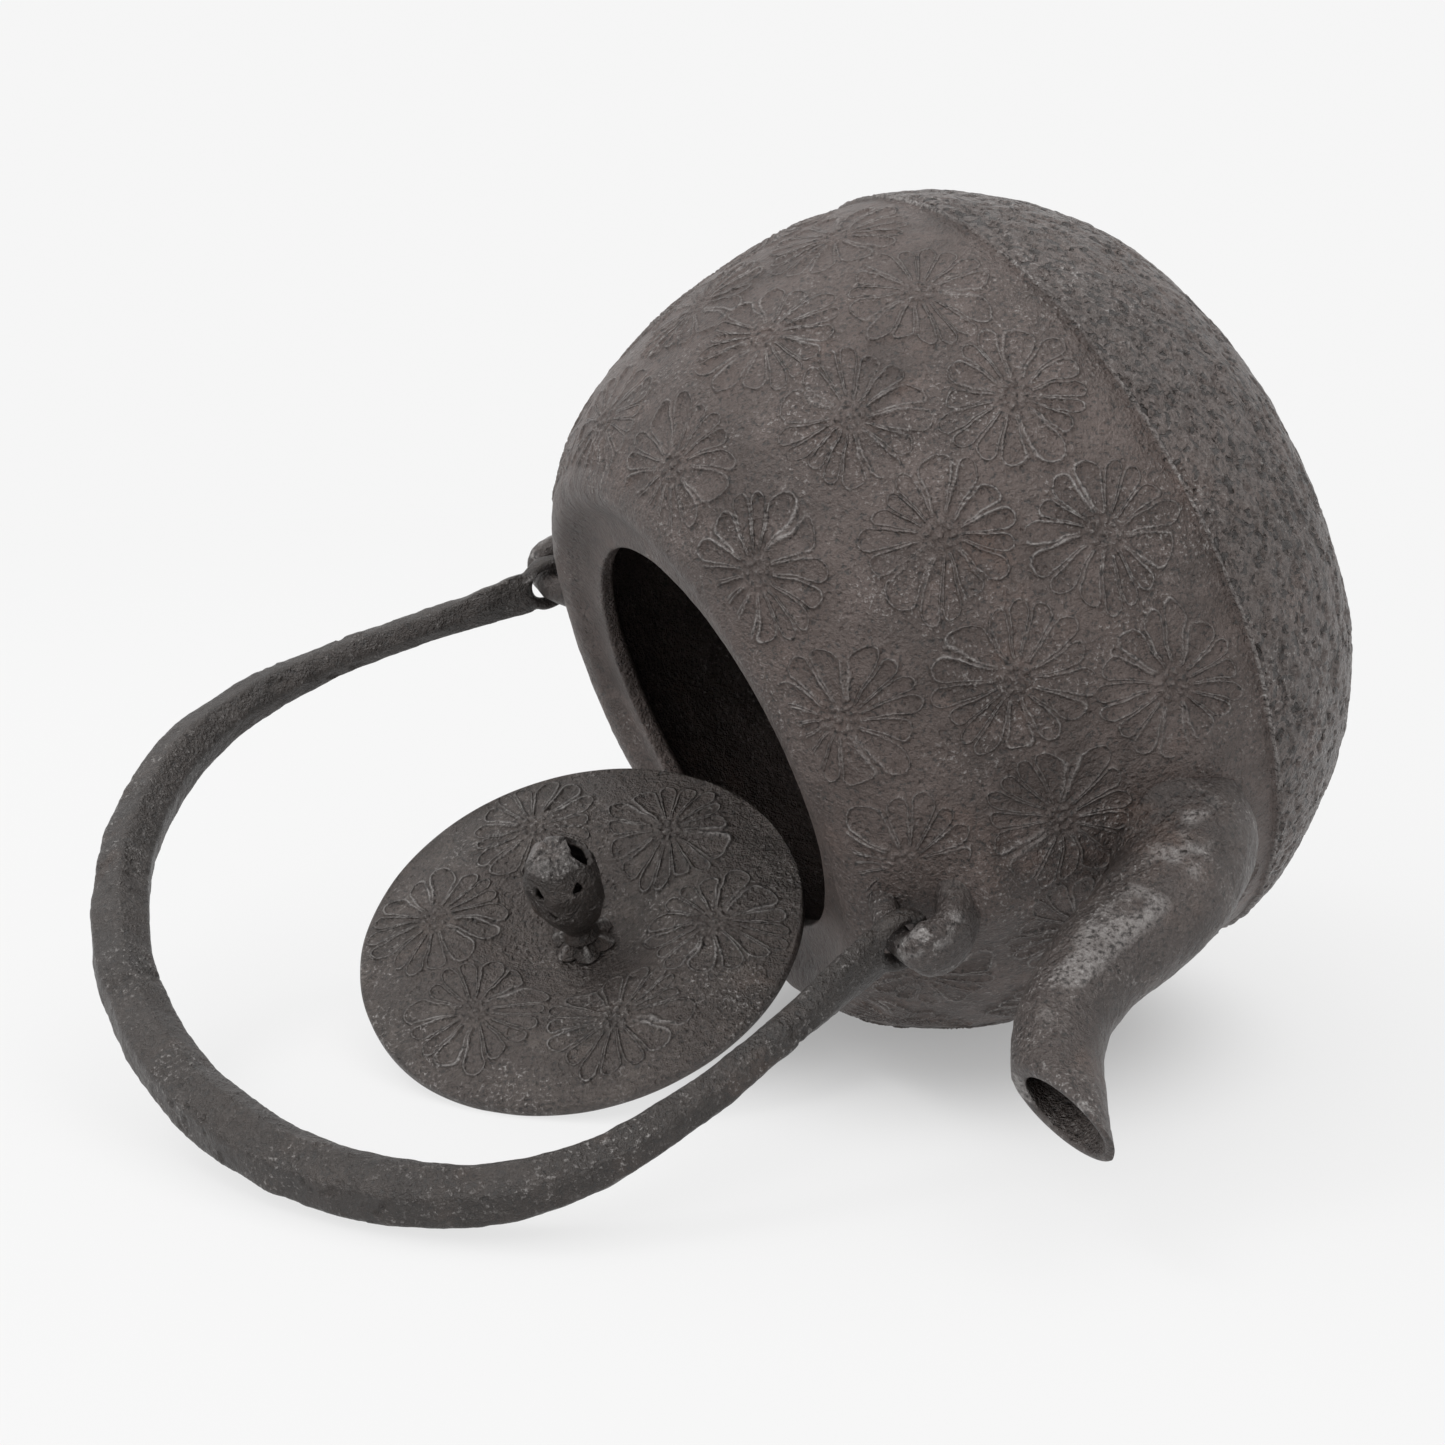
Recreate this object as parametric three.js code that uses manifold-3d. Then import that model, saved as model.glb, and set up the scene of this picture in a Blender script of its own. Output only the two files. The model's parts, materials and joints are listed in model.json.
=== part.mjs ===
// Cast-iron kettle with a bail handle, laid on its side with its lid off and leaning on the mouth.
// Lengths are millimetres. Each piece is shaped in the kettle's own upright frame: origin at the
// middle of the base, +Z towards the mouth, +X towards the spout. The whole is then laid down.

import * as THREE from 'three';
import * as BufferGeometryUtils from 'three/addons/utils/BufferGeometryUtils.js';
import Module from 'manifold-3d';

const wasm = await Module();
wasm.setup();

// ---- driving dimensions ----

const GAP = 0.3; // clearance between pieces that touch
const BODY_SIDES = 48; // facets round the kettle

const BASE_RADIUS = 46; // flat underside
const OPENING_RADIUS = 41.7;
const LEDGE_HEIGHT = 118.8; // the seat that the lid rests on
const WALL = 3.2;
const FLOOR_THICKNESS = 4;

// outer meridian (radius, height) from the edge of the base to the foot of the rim
const MERIDIAN = [
  [52, 2.4], [66.5, 11], [77.3, 25], [83.6, 41.5], [85, 60], [82.3, 80], [77, 97.5], [69.4, 111.5], [61.5, 119.5],
];
// rim: rounded ridge, then the gutter at the foot of the ledge
const RIM = [[58.6, 121.7], [55.4, 122.6], [52.2, 121.9], [49.6, 119.6], [47.6, LEDGE_HEIGHT]];

const PIVOT_X = 71.2; // half the distance between the two eyes of the handle
const PIVOT_Z = 120;
const EYE_HOLE = 3.7; // radius of the hole in each eye
const EYE_RIM = 2.7; // width of metal round the hole
const EYE_THICKNESS = 4;
const LUG_BAR = 2.6; // radius of the lug where the eye hangs on it

const LID_RADIUS = 45.8;
const LID_EDGE = 2.8; // thickness at the edge
const LID_CROWN = 4.4; // height of the flowered ring
const LID_WALL = 3.2;
const DISH_DEPTH = 6.4; // the middle of the lid is sunk below the ring
const DISH_RADIUS = 28;
const DISH_FLAT = 5; // radius of the level bottom of the dish
const FLANGE_RADIUS = 37.5; // locating flange under the lid
const FLANGE_DEPTH = 3.2;
const TANG_RADIUS = 2.2;
const KNOB_RADIUS = 8.4;
const KNOB_HEIGHT = 21;
const KNOB_MIDDLE = 15.2; // height of the middle of the bud

// resting attitude of the whole kettle, degrees
const SPIN = 70.4; // spout turned round the kettle's axis
const TIP = 112.05; // from upright; past 90 the mouth points below the horizontal
const HEADING = -156.3; // the way the mouth points on the floor

// resting place of the lid in the kettle's frame: the middle of its underside, its slope and its lean
const LID_PLACE = new THREE.Vector3(2.41, -28.7, 156.81);
const LID_SLOPE = -89.14;
const LID_LEAN = 1.97;

const IRON = { color: 0x574e4b, roughness: 0.62, metalness: 0.55 };
const DARK_IRON = { color: 0x4a4240, roughness: 0.68, metalness: 0.5 };
const ACROSS = new THREE.Vector3(0, 1, 0);

// ---- helpers ----

// merge shared vertices and drop the triangles that collapse on an axis
function weld(geometry) {
  const bare = geometry.clone();
  bare.deleteAttribute('normal');
  bare.deleteAttribute('uv');
  const merged = BufferGeometryUtils.mergeVertices(bare, 1e-4);
  const index = merged.index.array;
  const kept = [];
  for (let i = 0; i < index.length; i += 3) {
    const [a, b, c] = [index[i], index[i + 1], index[i + 2]];
    if (a !== b && b !== c && c !== a) kept.push(a, b, c);
  }
  merged.setIndex(kept);
  return merged;
}

function solid(geometry) {
  const welded = weld(geometry);
  const vertProperties = new Float32Array(welded.attributes.position.array);
  const triVerts = new Uint32Array(welded.index.array);
  return new wasm.Manifold(new wasm.Mesh({ numProp: 3, vertProperties, triVerts }));
}

function geometryOf(body) {
  const result = body.getMesh();
  const geometry = new THREE.BufferGeometry();
  geometry.setAttribute('position', new THREE.BufferAttribute(new Float32Array(result.vertProperties), 3));
  geometry.setIndex(new THREE.BufferAttribute(new Uint32Array(result.triVerts), 1));
  geometry.computeVertexNormals();
  return geometry;
}

function piece(name, body, finish) {
  const mesh = new THREE.Mesh(geometryOf(body), new THREE.MeshStandardMaterial(finish));
  mesh.name = name;
  return mesh;
}

// a closed profile of [radius, height] points turned round Z
function turned(points, sides) {
  const profile = points.map(([r, z]) => new THREE.Vector2(r, z));
  return new THREE.LatheGeometry(profile, sides).rotateX(Math.PI / 2);
}

// a bar along a path in the XZ plane; halfWidths(t) gives its half width across Y and in the plane
function bar(path, halfWidths, steps, sides) {
  const geometry = new THREE.CylinderGeometry(1, 1, 1, sides, steps);
  const position = geometry.attributes.position;
  for (let i = 0; i < position.count; i += 1) {
    const t = THREE.MathUtils.clamp(position.getY(i) + 0.5, 0, 1);
    const [across, inPlane] = halfWidths(t);
    const normal = new THREE.Vector3().crossVectors(ACROSS, path.getTangentAt(t)).normalize();
    const point = path.getPointAt(t);
    point.addScaledVector(ACROSS, across * position.getX(i));
    point.addScaledVector(normal, inPlane * position.getZ(i));
    position.setXYZ(i, point.x, point.y, point.z);
  }
  return geometry;
}

function planePath(points) {
  return new THREE.CatmullRomCurve3(points.map(([x, z]) => new THREE.Vector3(x, 0, z)), false, 'centripetal');
}

// ---- kettle body ----

function meridianAt(offset, steps) {
  const curve = new THREE.SplineCurve(MERIDIAN.map(([r, z]) => new THREE.Vector2(r, z)));
  const points = [];
  for (let i = 0; i <= steps; i += 1) {
    const point = curve.getPoint(i / steps);
    const along = curve.getTangent(i / steps);
    points.push([point.x + along.y * offset, point.y - along.x * offset]);
  }
  return points;
}

// the kettle filled solid, grown by an allowance so that pieces cast on it can be trimmed clear of it
function filledBody(allowance) {
  const rim = RIM.map(([r, z]) => [r + allowance, z + allowance]);
  const outline = [[0, -allowance], [BASE_RADIUS, -allowance], ...meridianAt(allowance, 12), ...rim];
  return turned([...outline, [0, LEDGE_HEIGHT + allowance]], BODY_SIDES);
}

function shellGeometry() {
  const outside = [[0, 0], [BASE_RADIUS, 0], ...meridianAt(0, 12), ...RIM];
  const lip = [[OPENING_RADIUS, LEDGE_HEIGHT], [OPENING_RADIUS, LEDGE_HEIGHT - WALL]];
  const inside = meridianAt(-WALL, 9).filter(([r, z]) => z > FLOOR_THICKNESS + 2 && r > OPENING_RADIUS + 8);
  const floorEdge = [BASE_RADIUS, FLOOR_THICKNESS];
  return turned([...outside, ...lip, ...inside.reverse(), floorEdge, [0, FLOOR_THICKNESS]], BODY_SIDES);
}

// ---- spout ----

const SPOUT_PATH = planePath([
  [72, 61], [85.5, 65], [93, 74.5], [96.8, 86], [99.6, 97.5], [104.3, 107.2], [110.8, 114], [119.5, 119.8], [129, 125.2],
]);
const SPOUT_RADII = [9.8, 10.6, 10.6, 10.1, 9.3, 8.5, 7.9, 7.5, 7.3]; // at equal steps along the path
const SPOUT_WALL = 2.4;
const SPOUT_TAPER = new THREE.SplineCurve(SPOUT_RADII.map((radius, i) => new THREE.Vector2(i, radius)));

function spoutTube(shrink) {
  const half = (t) => {
    const radius = SPOUT_TAPER.getPoint(t).y - shrink;
    return [radius, radius];
  };
  return bar(SPOUT_PATH, half, 18, 20);
}

// everything above the slanted mouth of the spout
function spoutMouthCut() {
  const slab = new THREE.BoxGeometry(80, 60, 40);
  slab.translate(0, 0, 20);
  slab.rotateY(THREE.MathUtils.degToRad(8));
  slab.translate(122, 0, 120.8);
  return slab;
}

// ---- lugs and handle ----

// a stout arch from the shoulder below the rim, out through the eye and down to the shoulder again
const LUG_PATH = planePath([
  [PIVOT_X - 12, PIVOT_Z - 6], [PIVOT_X - 4, PIVOT_Z - 0.6], [PIVOT_X + 1, PIVOT_Z], [PIVOT_X + 4.4, PIVOT_Z - 1.2],
  [PIVOT_X + 6.1, PIVOT_Z - 4.6], [PIVOT_X + 4.6, PIVOT_Z - 9], [PIVOT_X - 1, PIVOT_Z - 14],
]);

function lugArch() {
  const half = (t) => {
    const swell = THREE.MathUtils.smoothstep(t, 0.46, 0.64);
    return [LUG_BAR + 2.5 * swell, LUG_BAR + 0.7 * swell];
  };
  return bar(LUG_PATH, half, 14, 12);
}

// half of the handle's centre line, from the eye to the top of the bow
const BOW = [
  [PIVOT_X, PIVOT_Z + EYE_HOLE + 1.2], [73.2, 134], [77.6, 152], [80.8, 170], [81.2, 187], [76.4, 203], [65, 217.5],
  [47, 230], [25, 237.8], [0, 240.6],
];
const BOW_PATH = planePath([...BOW, ...BOW.slice(0, -1).reverse().map(([x, z]) => [-x, z])]);

// thick in the middle of the bow, slender above the eyes, then flattened into them
function bowHalfWidths(t) {
  const fromEye = Math.min(t, 1 - t) * 2;
  const swell = THREE.MathUtils.smoothstep(fromEye, 0.16, 0.62);
  const flare = 1 - THREE.MathUtils.smoothstep(fromEye, 0, 0.13);
  const round = THREE.MathUtils.lerp(3.5, 5.9, swell);
  return [round + 2.2 * flare, round - 1.4 * flare];
}

function eye(side) {
  const outline = new THREE.Shape();
  outline.absarc(0, 0, EYE_HOLE + EYE_RIM, 0, 2 * Math.PI);
  const hole = new THREE.Path();
  hole.absarc(0, 0, EYE_HOLE, 0, 2 * Math.PI, true);
  outline.holes.push(hole);
  const bevel = 1.1;
  const ring = new THREE.ExtrudeGeometry(outline, {
    depth: EYE_THICKNESS - 2 * bevel,
    curveSegments: 10,
    bevelThickness: bevel,
    bevelSize: 0.9,
    bevelOffset: -0.9,
    bevelSegments: 1,
  });
  ring.translate(0, 0, bevel - EYE_THICKNESS / 2);
  ring.rotateY(Math.PI / 2);
  ring.translate(side * PIVOT_X, 0, PIVOT_Z);
  return ring;
}

function eyeHole(side) {
  const hole = new THREE.CylinderGeometry(EYE_HOLE, EYE_HOLE, 24, 24);
  hole.rotateZ(Math.PI / 2);
  hole.translate(side * PIVOT_X, 0, PIVOT_Z);
  return hole;
}

function handleSolid() {
  let bow = solid(bar(BOW_PATH, bowHalfWidths, 52, 12));
  for (const side of [1, -1]) bow = bow.subtract(solid(eyeHole(side))).add(solid(eye(side)));
  return bow;
}

// ---- lid, in its own frame: middle of the underside at the origin, knob upwards ----

function lidTop(r) {
  const dish = 1 - THREE.MathUtils.smoothstep(r, DISH_FLAT, DISH_RADIUS);
  const brow = THREE.MathUtils.smoothstep(r, DISH_RADIUS + 4, LID_RADIUS);
  return LID_CROWN - DISH_DEPTH * dish - (LID_CROWN - LID_EDGE) * brow;
}

// points across the lid from radius `from` to radius `to`, lowered by `drop`
function lidSweep(from, to, steps, drop) {
  const points = [];
  for (let i = 0; i <= steps; i += 1) {
    const r = THREE.MathUtils.lerp(from, to, i / steps);
    points.push([r, lidTop(r) - drop]);
  }
  return points;
}

function lidGeometry() {
  const hole = TANG_RADIUS + GAP;
  const underside = lidSweep(hole, FLANGE_RADIUS - 2.5, 11, LID_WALL);
  const flange = [[FLANGE_RADIUS - 2.2, -FLANGE_DEPTH], [FLANGE_RADIUS, -FLANGE_DEPTH], [FLANGE_RADIUS, 0]];
  const edge = [[LID_RADIUS - 0.8, 0], [LID_RADIUS, 0.8], [LID_RADIUS, LID_EDGE - 0.8]];
  const crown = lidSweep(LID_RADIUS - 1, hole, 14, 0);
  return turned([...underside, ...flange, ...edge, ...crown, underside[0]], 48);
}

// heights at the middle of the dish: its top, its underside, and the petalled seat of the knob
const DISH_TOP = LID_CROWN - DISH_DEPTH;
const DISH_UNDER = DISH_TOP - LID_WALL;
const SEAT_BASE = DISH_TOP + GAP + 0.1;
const SEAT_THICKNESS = 1.8;
const WASHER_THICKNESS = 1.4;

function seatGeometry() {
  const petals = 6;
  const outline = new THREE.Shape();
  const steps = petals * 6;
  for (let i = 0; i < steps; i += 1) {
    const angle = (2 * Math.PI * i) / steps;
    const radius = 5 + 1.8 * Math.abs(Math.cos((petals / 2) * angle));
    const [x, y] = [radius * Math.cos(angle), radius * Math.sin(angle)];
    if (i === 0) outline.moveTo(x, y);
    else outline.lineTo(x, y);
  }
  outline.closePath();
  const hole = new THREE.Path();
  hole.absarc(0, 0, TANG_RADIUS + GAP, 0, 2 * Math.PI, true);
  outline.holes.push(hole);
  const washer = new THREE.ExtrudeGeometry(outline, {
    depth: SEAT_THICKNESS - 1.6,
    curveSegments: 10,
    bevelThickness: 0.8,
    bevelSize: 0.9,
    bevelOffset: -0.9,
    bevelSegments: 1,
  });
  washer.translate(0, 0, SEAT_BASE + 0.8);
  return washer;
}

function tangWasher() {
  const [inner, outer] = [TANG_RADIUS + GAP, 5.2];
  const high = DISH_UNDER - GAP;
  const low = high - WASHER_THICKNESS;
  return turned([[inner, low], [outer, low], [outer, high], [inner, high], [inner, low]], 24);
}

// hollow five-lobed bud on a stem, with a tang through the lid that is peened underneath
function budGeometry(radius, height, lobing) {
  const bud = new THREE.SphereGeometry(1, 30, 10);
  bud.rotateX(Math.PI / 2);
  const position = bud.attributes.position;
  for (let i = 0; i < position.count; i += 1) {
    const [x, y, z] = [position.getX(i), position.getY(i), position.getZ(i)];
    const lobe = 1 - lobing * (1 - Math.abs(Math.cos(2.5 * Math.atan2(y, x)))) ** 2;
    const belly = 1 - 0.2 * Math.max(0, -z) ** 2 + 0.04 * z;
    position.setXYZ(i, x * radius * lobe * belly, y * radius * lobe * belly, (z * height) / 2);
  }
  return bud;
}

function teardropHole(index) {
  const drop = new THREE.Shape();
  drop.moveTo(0, 1.9);
  drop.quadraticCurveTo(1.5, -0.2, 0.7, -1.2);
  drop.quadraticCurveTo(0, -1.8, -0.7, -1.2);
  drop.quadraticCurveTo(-1.5, -0.2, 0, 1.9);
  const cutter = new THREE.ExtrudeGeometry(drop, { depth: KNOB_RADIUS + 2, bevelEnabled: false, curveSegments: 2 });
  cutter.rotateX(Math.PI / 2);
  cutter.rotateZ((2 * Math.PI * index) / 5);
  return cutter;
}

function knobSolid() {
  let knob = solid(budGeometry(KNOB_RADIUS, KNOB_HEIGHT, 0.16));
  knob = knob.subtract(solid(budGeometry(KNOB_RADIUS - 1.7, KNOB_HEIGHT - 4, 0.1)));
  for (let i = 0; i < 5; i += 1) knob = knob.subtract(solid(teardropHole(i).translate(0, 0, -1.2)));
  knob = knob.translate([0, 0, KNOB_MIDDLE]);
  const shoulder = SEAT_BASE + SEAT_THICKNESS + GAP;
  const low = DISH_UNDER - GAP - WASHER_THICKNESS - GAP;
  const root = KNOB_MIDDLE - KNOB_HEIGHT / 2;
  const stem = [
    [0, low - 1.6], [2.6, low - 1.4], [3.6, low], [TANG_RADIUS, low], [TANG_RADIUS, shoulder], [4.2, shoulder],
    [3, shoulder + 1.8], [2.7, root - 2], [3.4, root + 0.4], [4.2, root + 2.2], [0, root + 3.6],
  ];
  return knob.add(solid(turned(stem, 16)));
}

// ---- assembly ----

const kettle = new THREE.Group();
const trim = solid(filledBody(GAP));
const bore = solid(spoutTube(SPOUT_WALL));
const mouthCut = solid(spoutMouthCut());

kettle.add(piece('kettle_body', solid(shellGeometry()).subtract(bore), IRON));
kettle.add(piece('spout', solid(spoutTube(0)).subtract(mouthCut).subtract(bore).subtract(trim), IRON));

const arch = solid(lugArch()).subtract(trim);
kettle.add(piece('front_lug', arch, IRON));
kettle.add(piece('rear_lug', arch.mirror([1, 0, 0]), IRON));
kettle.add(piece('bail_handle', handleSolid(), DARK_IRON));

const lidGroup = new THREE.Group();
lidGroup.add(piece('lid_plate', solid(lidGeometry()), DARK_IRON));
lidGroup.add(piece('knob_seat', solid(seatGeometry()), DARK_IRON));
lidGroup.add(piece('knob', knobSolid(), DARK_IRON));
lidGroup.add(piece('tang_washer', solid(tangWasher()), DARK_IRON));
lidGroup.position.copy(LID_PLACE);
lidGroup.rotation.set(THREE.MathUtils.degToRad(LID_SLOPE), THREE.MathUtils.degToRad(LID_LEAN), 0);
kettle.add(lidGroup);

// lay the kettle down: spin it about its axis, tip it over, turn it on the floor
kettle.rotation.z = THREE.MathUtils.degToRad(SPIN);
const tipped = new THREE.Group();
tipped.rotation.y = THREE.MathUtils.degToRad(TIP);
tipped.add(kettle);
const laid = new THREE.Group();
laid.rotation.z = THREE.MathUtils.degToRad(HEADING);
laid.add(tipped);

// stand it on the floor, with the origin under the middle of the whole
const object = new THREE.Group();
object.add(laid);
object.updateMatrixWorld(true);
const bounds = new THREE.Box3().setFromObject(object, true);
const middle = bounds.getCenter(new THREE.Vector3());
laid.position.set(-middle.x, -middle.y, -bounds.min.z);

export default object;
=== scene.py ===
import json
import math

import bmesh
import bpy
import numpy as np
from mathutils import Matrix, Vector


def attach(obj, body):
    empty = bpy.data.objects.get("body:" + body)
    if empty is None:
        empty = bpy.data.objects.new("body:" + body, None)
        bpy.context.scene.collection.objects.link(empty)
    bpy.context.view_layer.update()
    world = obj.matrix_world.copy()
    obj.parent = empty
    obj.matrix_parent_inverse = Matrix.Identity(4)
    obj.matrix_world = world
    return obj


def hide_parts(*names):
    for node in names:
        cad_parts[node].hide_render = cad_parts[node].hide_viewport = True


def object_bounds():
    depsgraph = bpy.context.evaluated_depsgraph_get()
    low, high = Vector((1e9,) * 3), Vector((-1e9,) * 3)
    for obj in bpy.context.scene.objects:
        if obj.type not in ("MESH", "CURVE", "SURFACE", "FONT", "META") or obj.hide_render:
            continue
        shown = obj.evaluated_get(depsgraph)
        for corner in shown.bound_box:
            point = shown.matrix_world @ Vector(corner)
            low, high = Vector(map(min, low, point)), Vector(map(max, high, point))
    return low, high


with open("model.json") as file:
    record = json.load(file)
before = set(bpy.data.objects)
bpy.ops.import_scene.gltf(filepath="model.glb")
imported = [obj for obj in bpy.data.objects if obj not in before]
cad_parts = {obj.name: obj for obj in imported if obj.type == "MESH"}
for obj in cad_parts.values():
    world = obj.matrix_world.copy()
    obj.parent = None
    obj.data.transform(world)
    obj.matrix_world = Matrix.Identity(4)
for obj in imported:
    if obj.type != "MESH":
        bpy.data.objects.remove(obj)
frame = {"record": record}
cad_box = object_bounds()

# Lengths in the shapes below are millimetres in the kettle's upright frame (origin in the middle of the
# base, +Z towards the mouth, +X towards the spout); place() turns them to metres and lays them down.
# The lid's pieces are in the lid's own frame, which LID puts into the kettle's.
MM = 0.001
Y_AXIS = np.array([0.0, 1, 0])
STEPS_IN_ONE = 4
record = frame["record"]
BASE = record["mounts"][0]
SWING = next(joint for joint in record["behaviour"]["joints"] if joint["name"] == "handle_swing")
AXIS_Z = -Vector(BASE["axis"]).normalized()
AXIS_X = Vector(SWING["axis"]).normalized()
AXIS_Y = AXIS_Z.cross(AXIS_X)
TURN = Matrix((AXIS_X, AXIS_Y, AXIS_Z)).transposed().to_4x4()
KETTLE = Matrix.Translation(Vector(BASE["pos_m"])) @ TURN
LID_PLACE = Vector((2.41, -28.7, 156.81))
LID_SLOPE = Matrix.Rotation(math.radians(-89.14), 4, "X")
LID_LEAN = Matrix.Rotation(math.radians(1.97), 4, "Y")
LID = KETTLE @ Matrix.Translation(LID_PLACE * MM) @ LID_SLOPE @ LID_LEAN

# ---- noise and curves ----


def hashed(ix, iy, iz, seed):
    h = (ix * 374761393 + iy * 668265263 + iz * 2246822519 + seed * 3266489917) & 0xFFFFFFFF
    h = ((h ^ (h >> 13)) * 1274126177) & 0xFFFFFFFF
    h = ((h ^ (h >> 16)) * 2654435761) & 0xFFFFFFFF
    return (h >> 8) / float(1 << 23) - 1.0


def noise(points, size, seed=0):
    """Smooth noise from -1 to 1, with lumps of about this size in mm."""
    q = points / size + 101.7
    cell = np.floor(q).astype(np.int64)
    f = q - cell
    u = f * f * f * (f * (f * 6 - 15) + 10)
    total = np.zeros(len(points))
    for dx in (0, 1):
        wx = u[:, 0] if dx else 1 - u[:, 0]
        for dy in (0, 1):
            wy = u[:, 1] if dy else 1 - u[:, 1]
            for dz in (0, 1):
                wz = u[:, 2] if dz else 1 - u[:, 2]
                total += wx * wy * wz * hashed(cell[:, 0] + dx, cell[:, 1] + dy, cell[:, 2] + dz, seed)
    return total


SKEW = np.array([[0.36, 0.48, -0.8], [-0.8, 0.6, 0.0], [0.48, 0.64, 0.6]])


def rough(points, size, octaves=3, seed=0):
    """Noise in octaves, each turned, finer and weaker than the one before."""
    total = np.zeros(len(points))
    weight = 1.0
    for i in range(octaves):
        total += weight * noise(points, size, seed + i)
        points = points @ SKEW
        size *= 0.47
        weight *= 0.55
    return total


def step(low, high, x):
    t = np.clip((x - low) / (high - low), 0, 1)
    return t * t * (3 - 2 * t)


def spline(points, n):
    """n + 1 points on the uniform Catmull-Rom curve through the given points."""
    p = np.array(points, float)
    last = len(p) - 1
    s = np.linspace(0, last, n + 1)
    i = np.minimum(s.astype(int), last - 1)
    t = (s - i)[:, None]
    a, b, c, d = p[np.maximum(i - 1, 0)], p[i], p[i + 1], p[np.minimum(i + 2, last)]
    return 0.5 * ((2 * b) + (c - a) * t + (2 * a - 5 * b + 4 * c - d) * t**2 + (3 * b - a - 3 * c + d) * t**3)


def resample(points, spacing=None, count=None):
    """The same line with points at equal steps along it."""
    length = np.concatenate([[0], np.cumsum(np.linalg.norm(np.diff(points, axis=0), axis=1))])
    if count is None:
        count = int(length[-1] / spacing) + 1
    at = np.linspace(0, length[-1], count + 1)
    return np.stack([np.interp(at, length, points[:, k]) for k in range(points.shape[1])], 1)


def around(count):
    return np.linspace(0, 2 * np.pi, count, endpoint=False)


def revolve(line, angle):
    """(radius, height) points swept round Z to the given angles, row by row."""
    height = np.repeat(line[:, 1:], len(angle), 1)
    return np.stack([line[:, :1] * np.cos(angle), line[:, :1] * np.sin(angle), height], -1).reshape(-1, 3)


def directions(line):
    """Unit direction of a line at each of its points."""
    tangent = np.gradient(line, axis=0)
    return tangent / np.linalg.norm(tangent, axis=1)[:, None]


def outward(line):
    """Unit normals of a (radius, height) line, on the outer side as it climbs."""
    along = directions(line)
    return np.stack([along[:, 1], -along[:, 0]], 1)


# ---- meshes ----


def bump_at(x, middle, width):
    """1 at the middle, falling off smoothly on both sides."""
    return np.exp(-(((x - middle) / width) ** 2))


def add_object(name, data):
    obj = bpy.data.objects.new(name, data)
    bpy.context.scene.collection.objects.link(obj)
    return obj


def grid_faces(rows, columns, start=0):
    i = np.arange(rows - 1)[:, None] * columns
    j = np.arange(columns)[None, :]
    k = (j + 1) % columns
    return (np.stack([i + j, i + k, i + columns + k, i + columns + j], -1) + start).reshape(-1, 4)


def closed_grid(rows, columns):
    """The quads of a grid whose last row also joins its first."""
    last = (rows - 1) * columns
    ends = [[last + j, last + (j + 1) % columns, (j + 1) % columns, j] for j in range(columns)]
    return np.concatenate([grid_faces(rows, columns), np.array(ends)])


def joining_faces(coarse, columns, coarse_start, fine_start, fine_end, coarse_end):
    """Faces that join a skin's first and last rings to rings with STEPS_IN_ONE times fewer points."""
    faces = []
    for j in range(coarse):
        k = (j + 1) % coarse
        fine = [(STEPS_IN_ONE * j + m) % columns for m in range(STEPS_IN_ONE + 1)]
        faces.append([coarse_start + j, coarse_start + k] + [fine_start + m for m in fine[::-1]])
        faces.append([fine_end + m for m in fine] + [coarse_end + k, coarse_end + j])
    return faces


def make_mesh(name, points, quads, others=()):
    """A mesh of quads, and of other faces given as lists."""
    mesh = bpy.data.meshes.new(name)
    loops = [np.asarray(quads).reshape(-1)] + [np.array(face) for face in others]
    sizes = np.array([4] * len(quads) + [len(face) for face in others])
    loops = np.concatenate(loops)
    mesh.vertices.add(len(points))
    mesh.vertices.foreach_set("co", np.asarray(points, np.float32).reshape(-1))
    mesh.loops.add(len(loops))
    mesh.loops.foreach_set("vertex_index", loops.astype(np.int32))
    mesh.polygons.add(len(sizes))
    mesh.polygons.foreach_set("loop_start", np.concatenate([[0], np.cumsum(sizes)[:-1]]).astype(np.int32))
    mesh.update(calc_edges=True)
    return mesh


def place(name, mesh, matrix, body, node, material):
    """The finished piece: in metres, laid down, held to the CAD box, riding in place of its CAD node."""
    mesh.transform(matrix @ Matrix.Scale(MM, 4))
    set_points(mesh, np.clip(points_of(mesh), cad_box[0], cad_box[1]))
    mesh.name = name
    mesh.validate()
    mesh.polygons.foreach_set("use_smooth", np.ones(len(mesh.polygons), bool))
    mesh.materials.clear()
    mesh.materials.append(material)
    obj = add_object(name, mesh)
    bpy.context.view_layer.update()
    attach(obj, body)
    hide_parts(node)


def points_of(mesh):
    co = np.empty(len(mesh.vertices) * 3, np.float32)
    mesh.vertices.foreach_get("co", co)
    return co.reshape(-1, 3).astype(float)


def set_points(mesh, points):
    mesh.vertices.foreach_set("co", points.astype(np.float32).reshape(-1))
    mesh.update()


def push(mesh, height):
    """Moves each vertex along its normal by height(points), in mm."""
    normals = np.empty(len(mesh.vertices) * 3, np.float32)
    mesh.vertex_normals.foreach_get("vector", normals)
    points = points_of(mesh)
    set_points(mesh, points + normals.reshape(-1, 3).astype(float) * height(points)[:, None])


def face_outwards(mesh):
    edit = bmesh.new()
    edit.from_mesh(mesh)
    bmesh.ops.recalc_face_normals(edit, faces=edit.faces)
    edit.to_mesh(mesh)
    edit.free()


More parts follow.
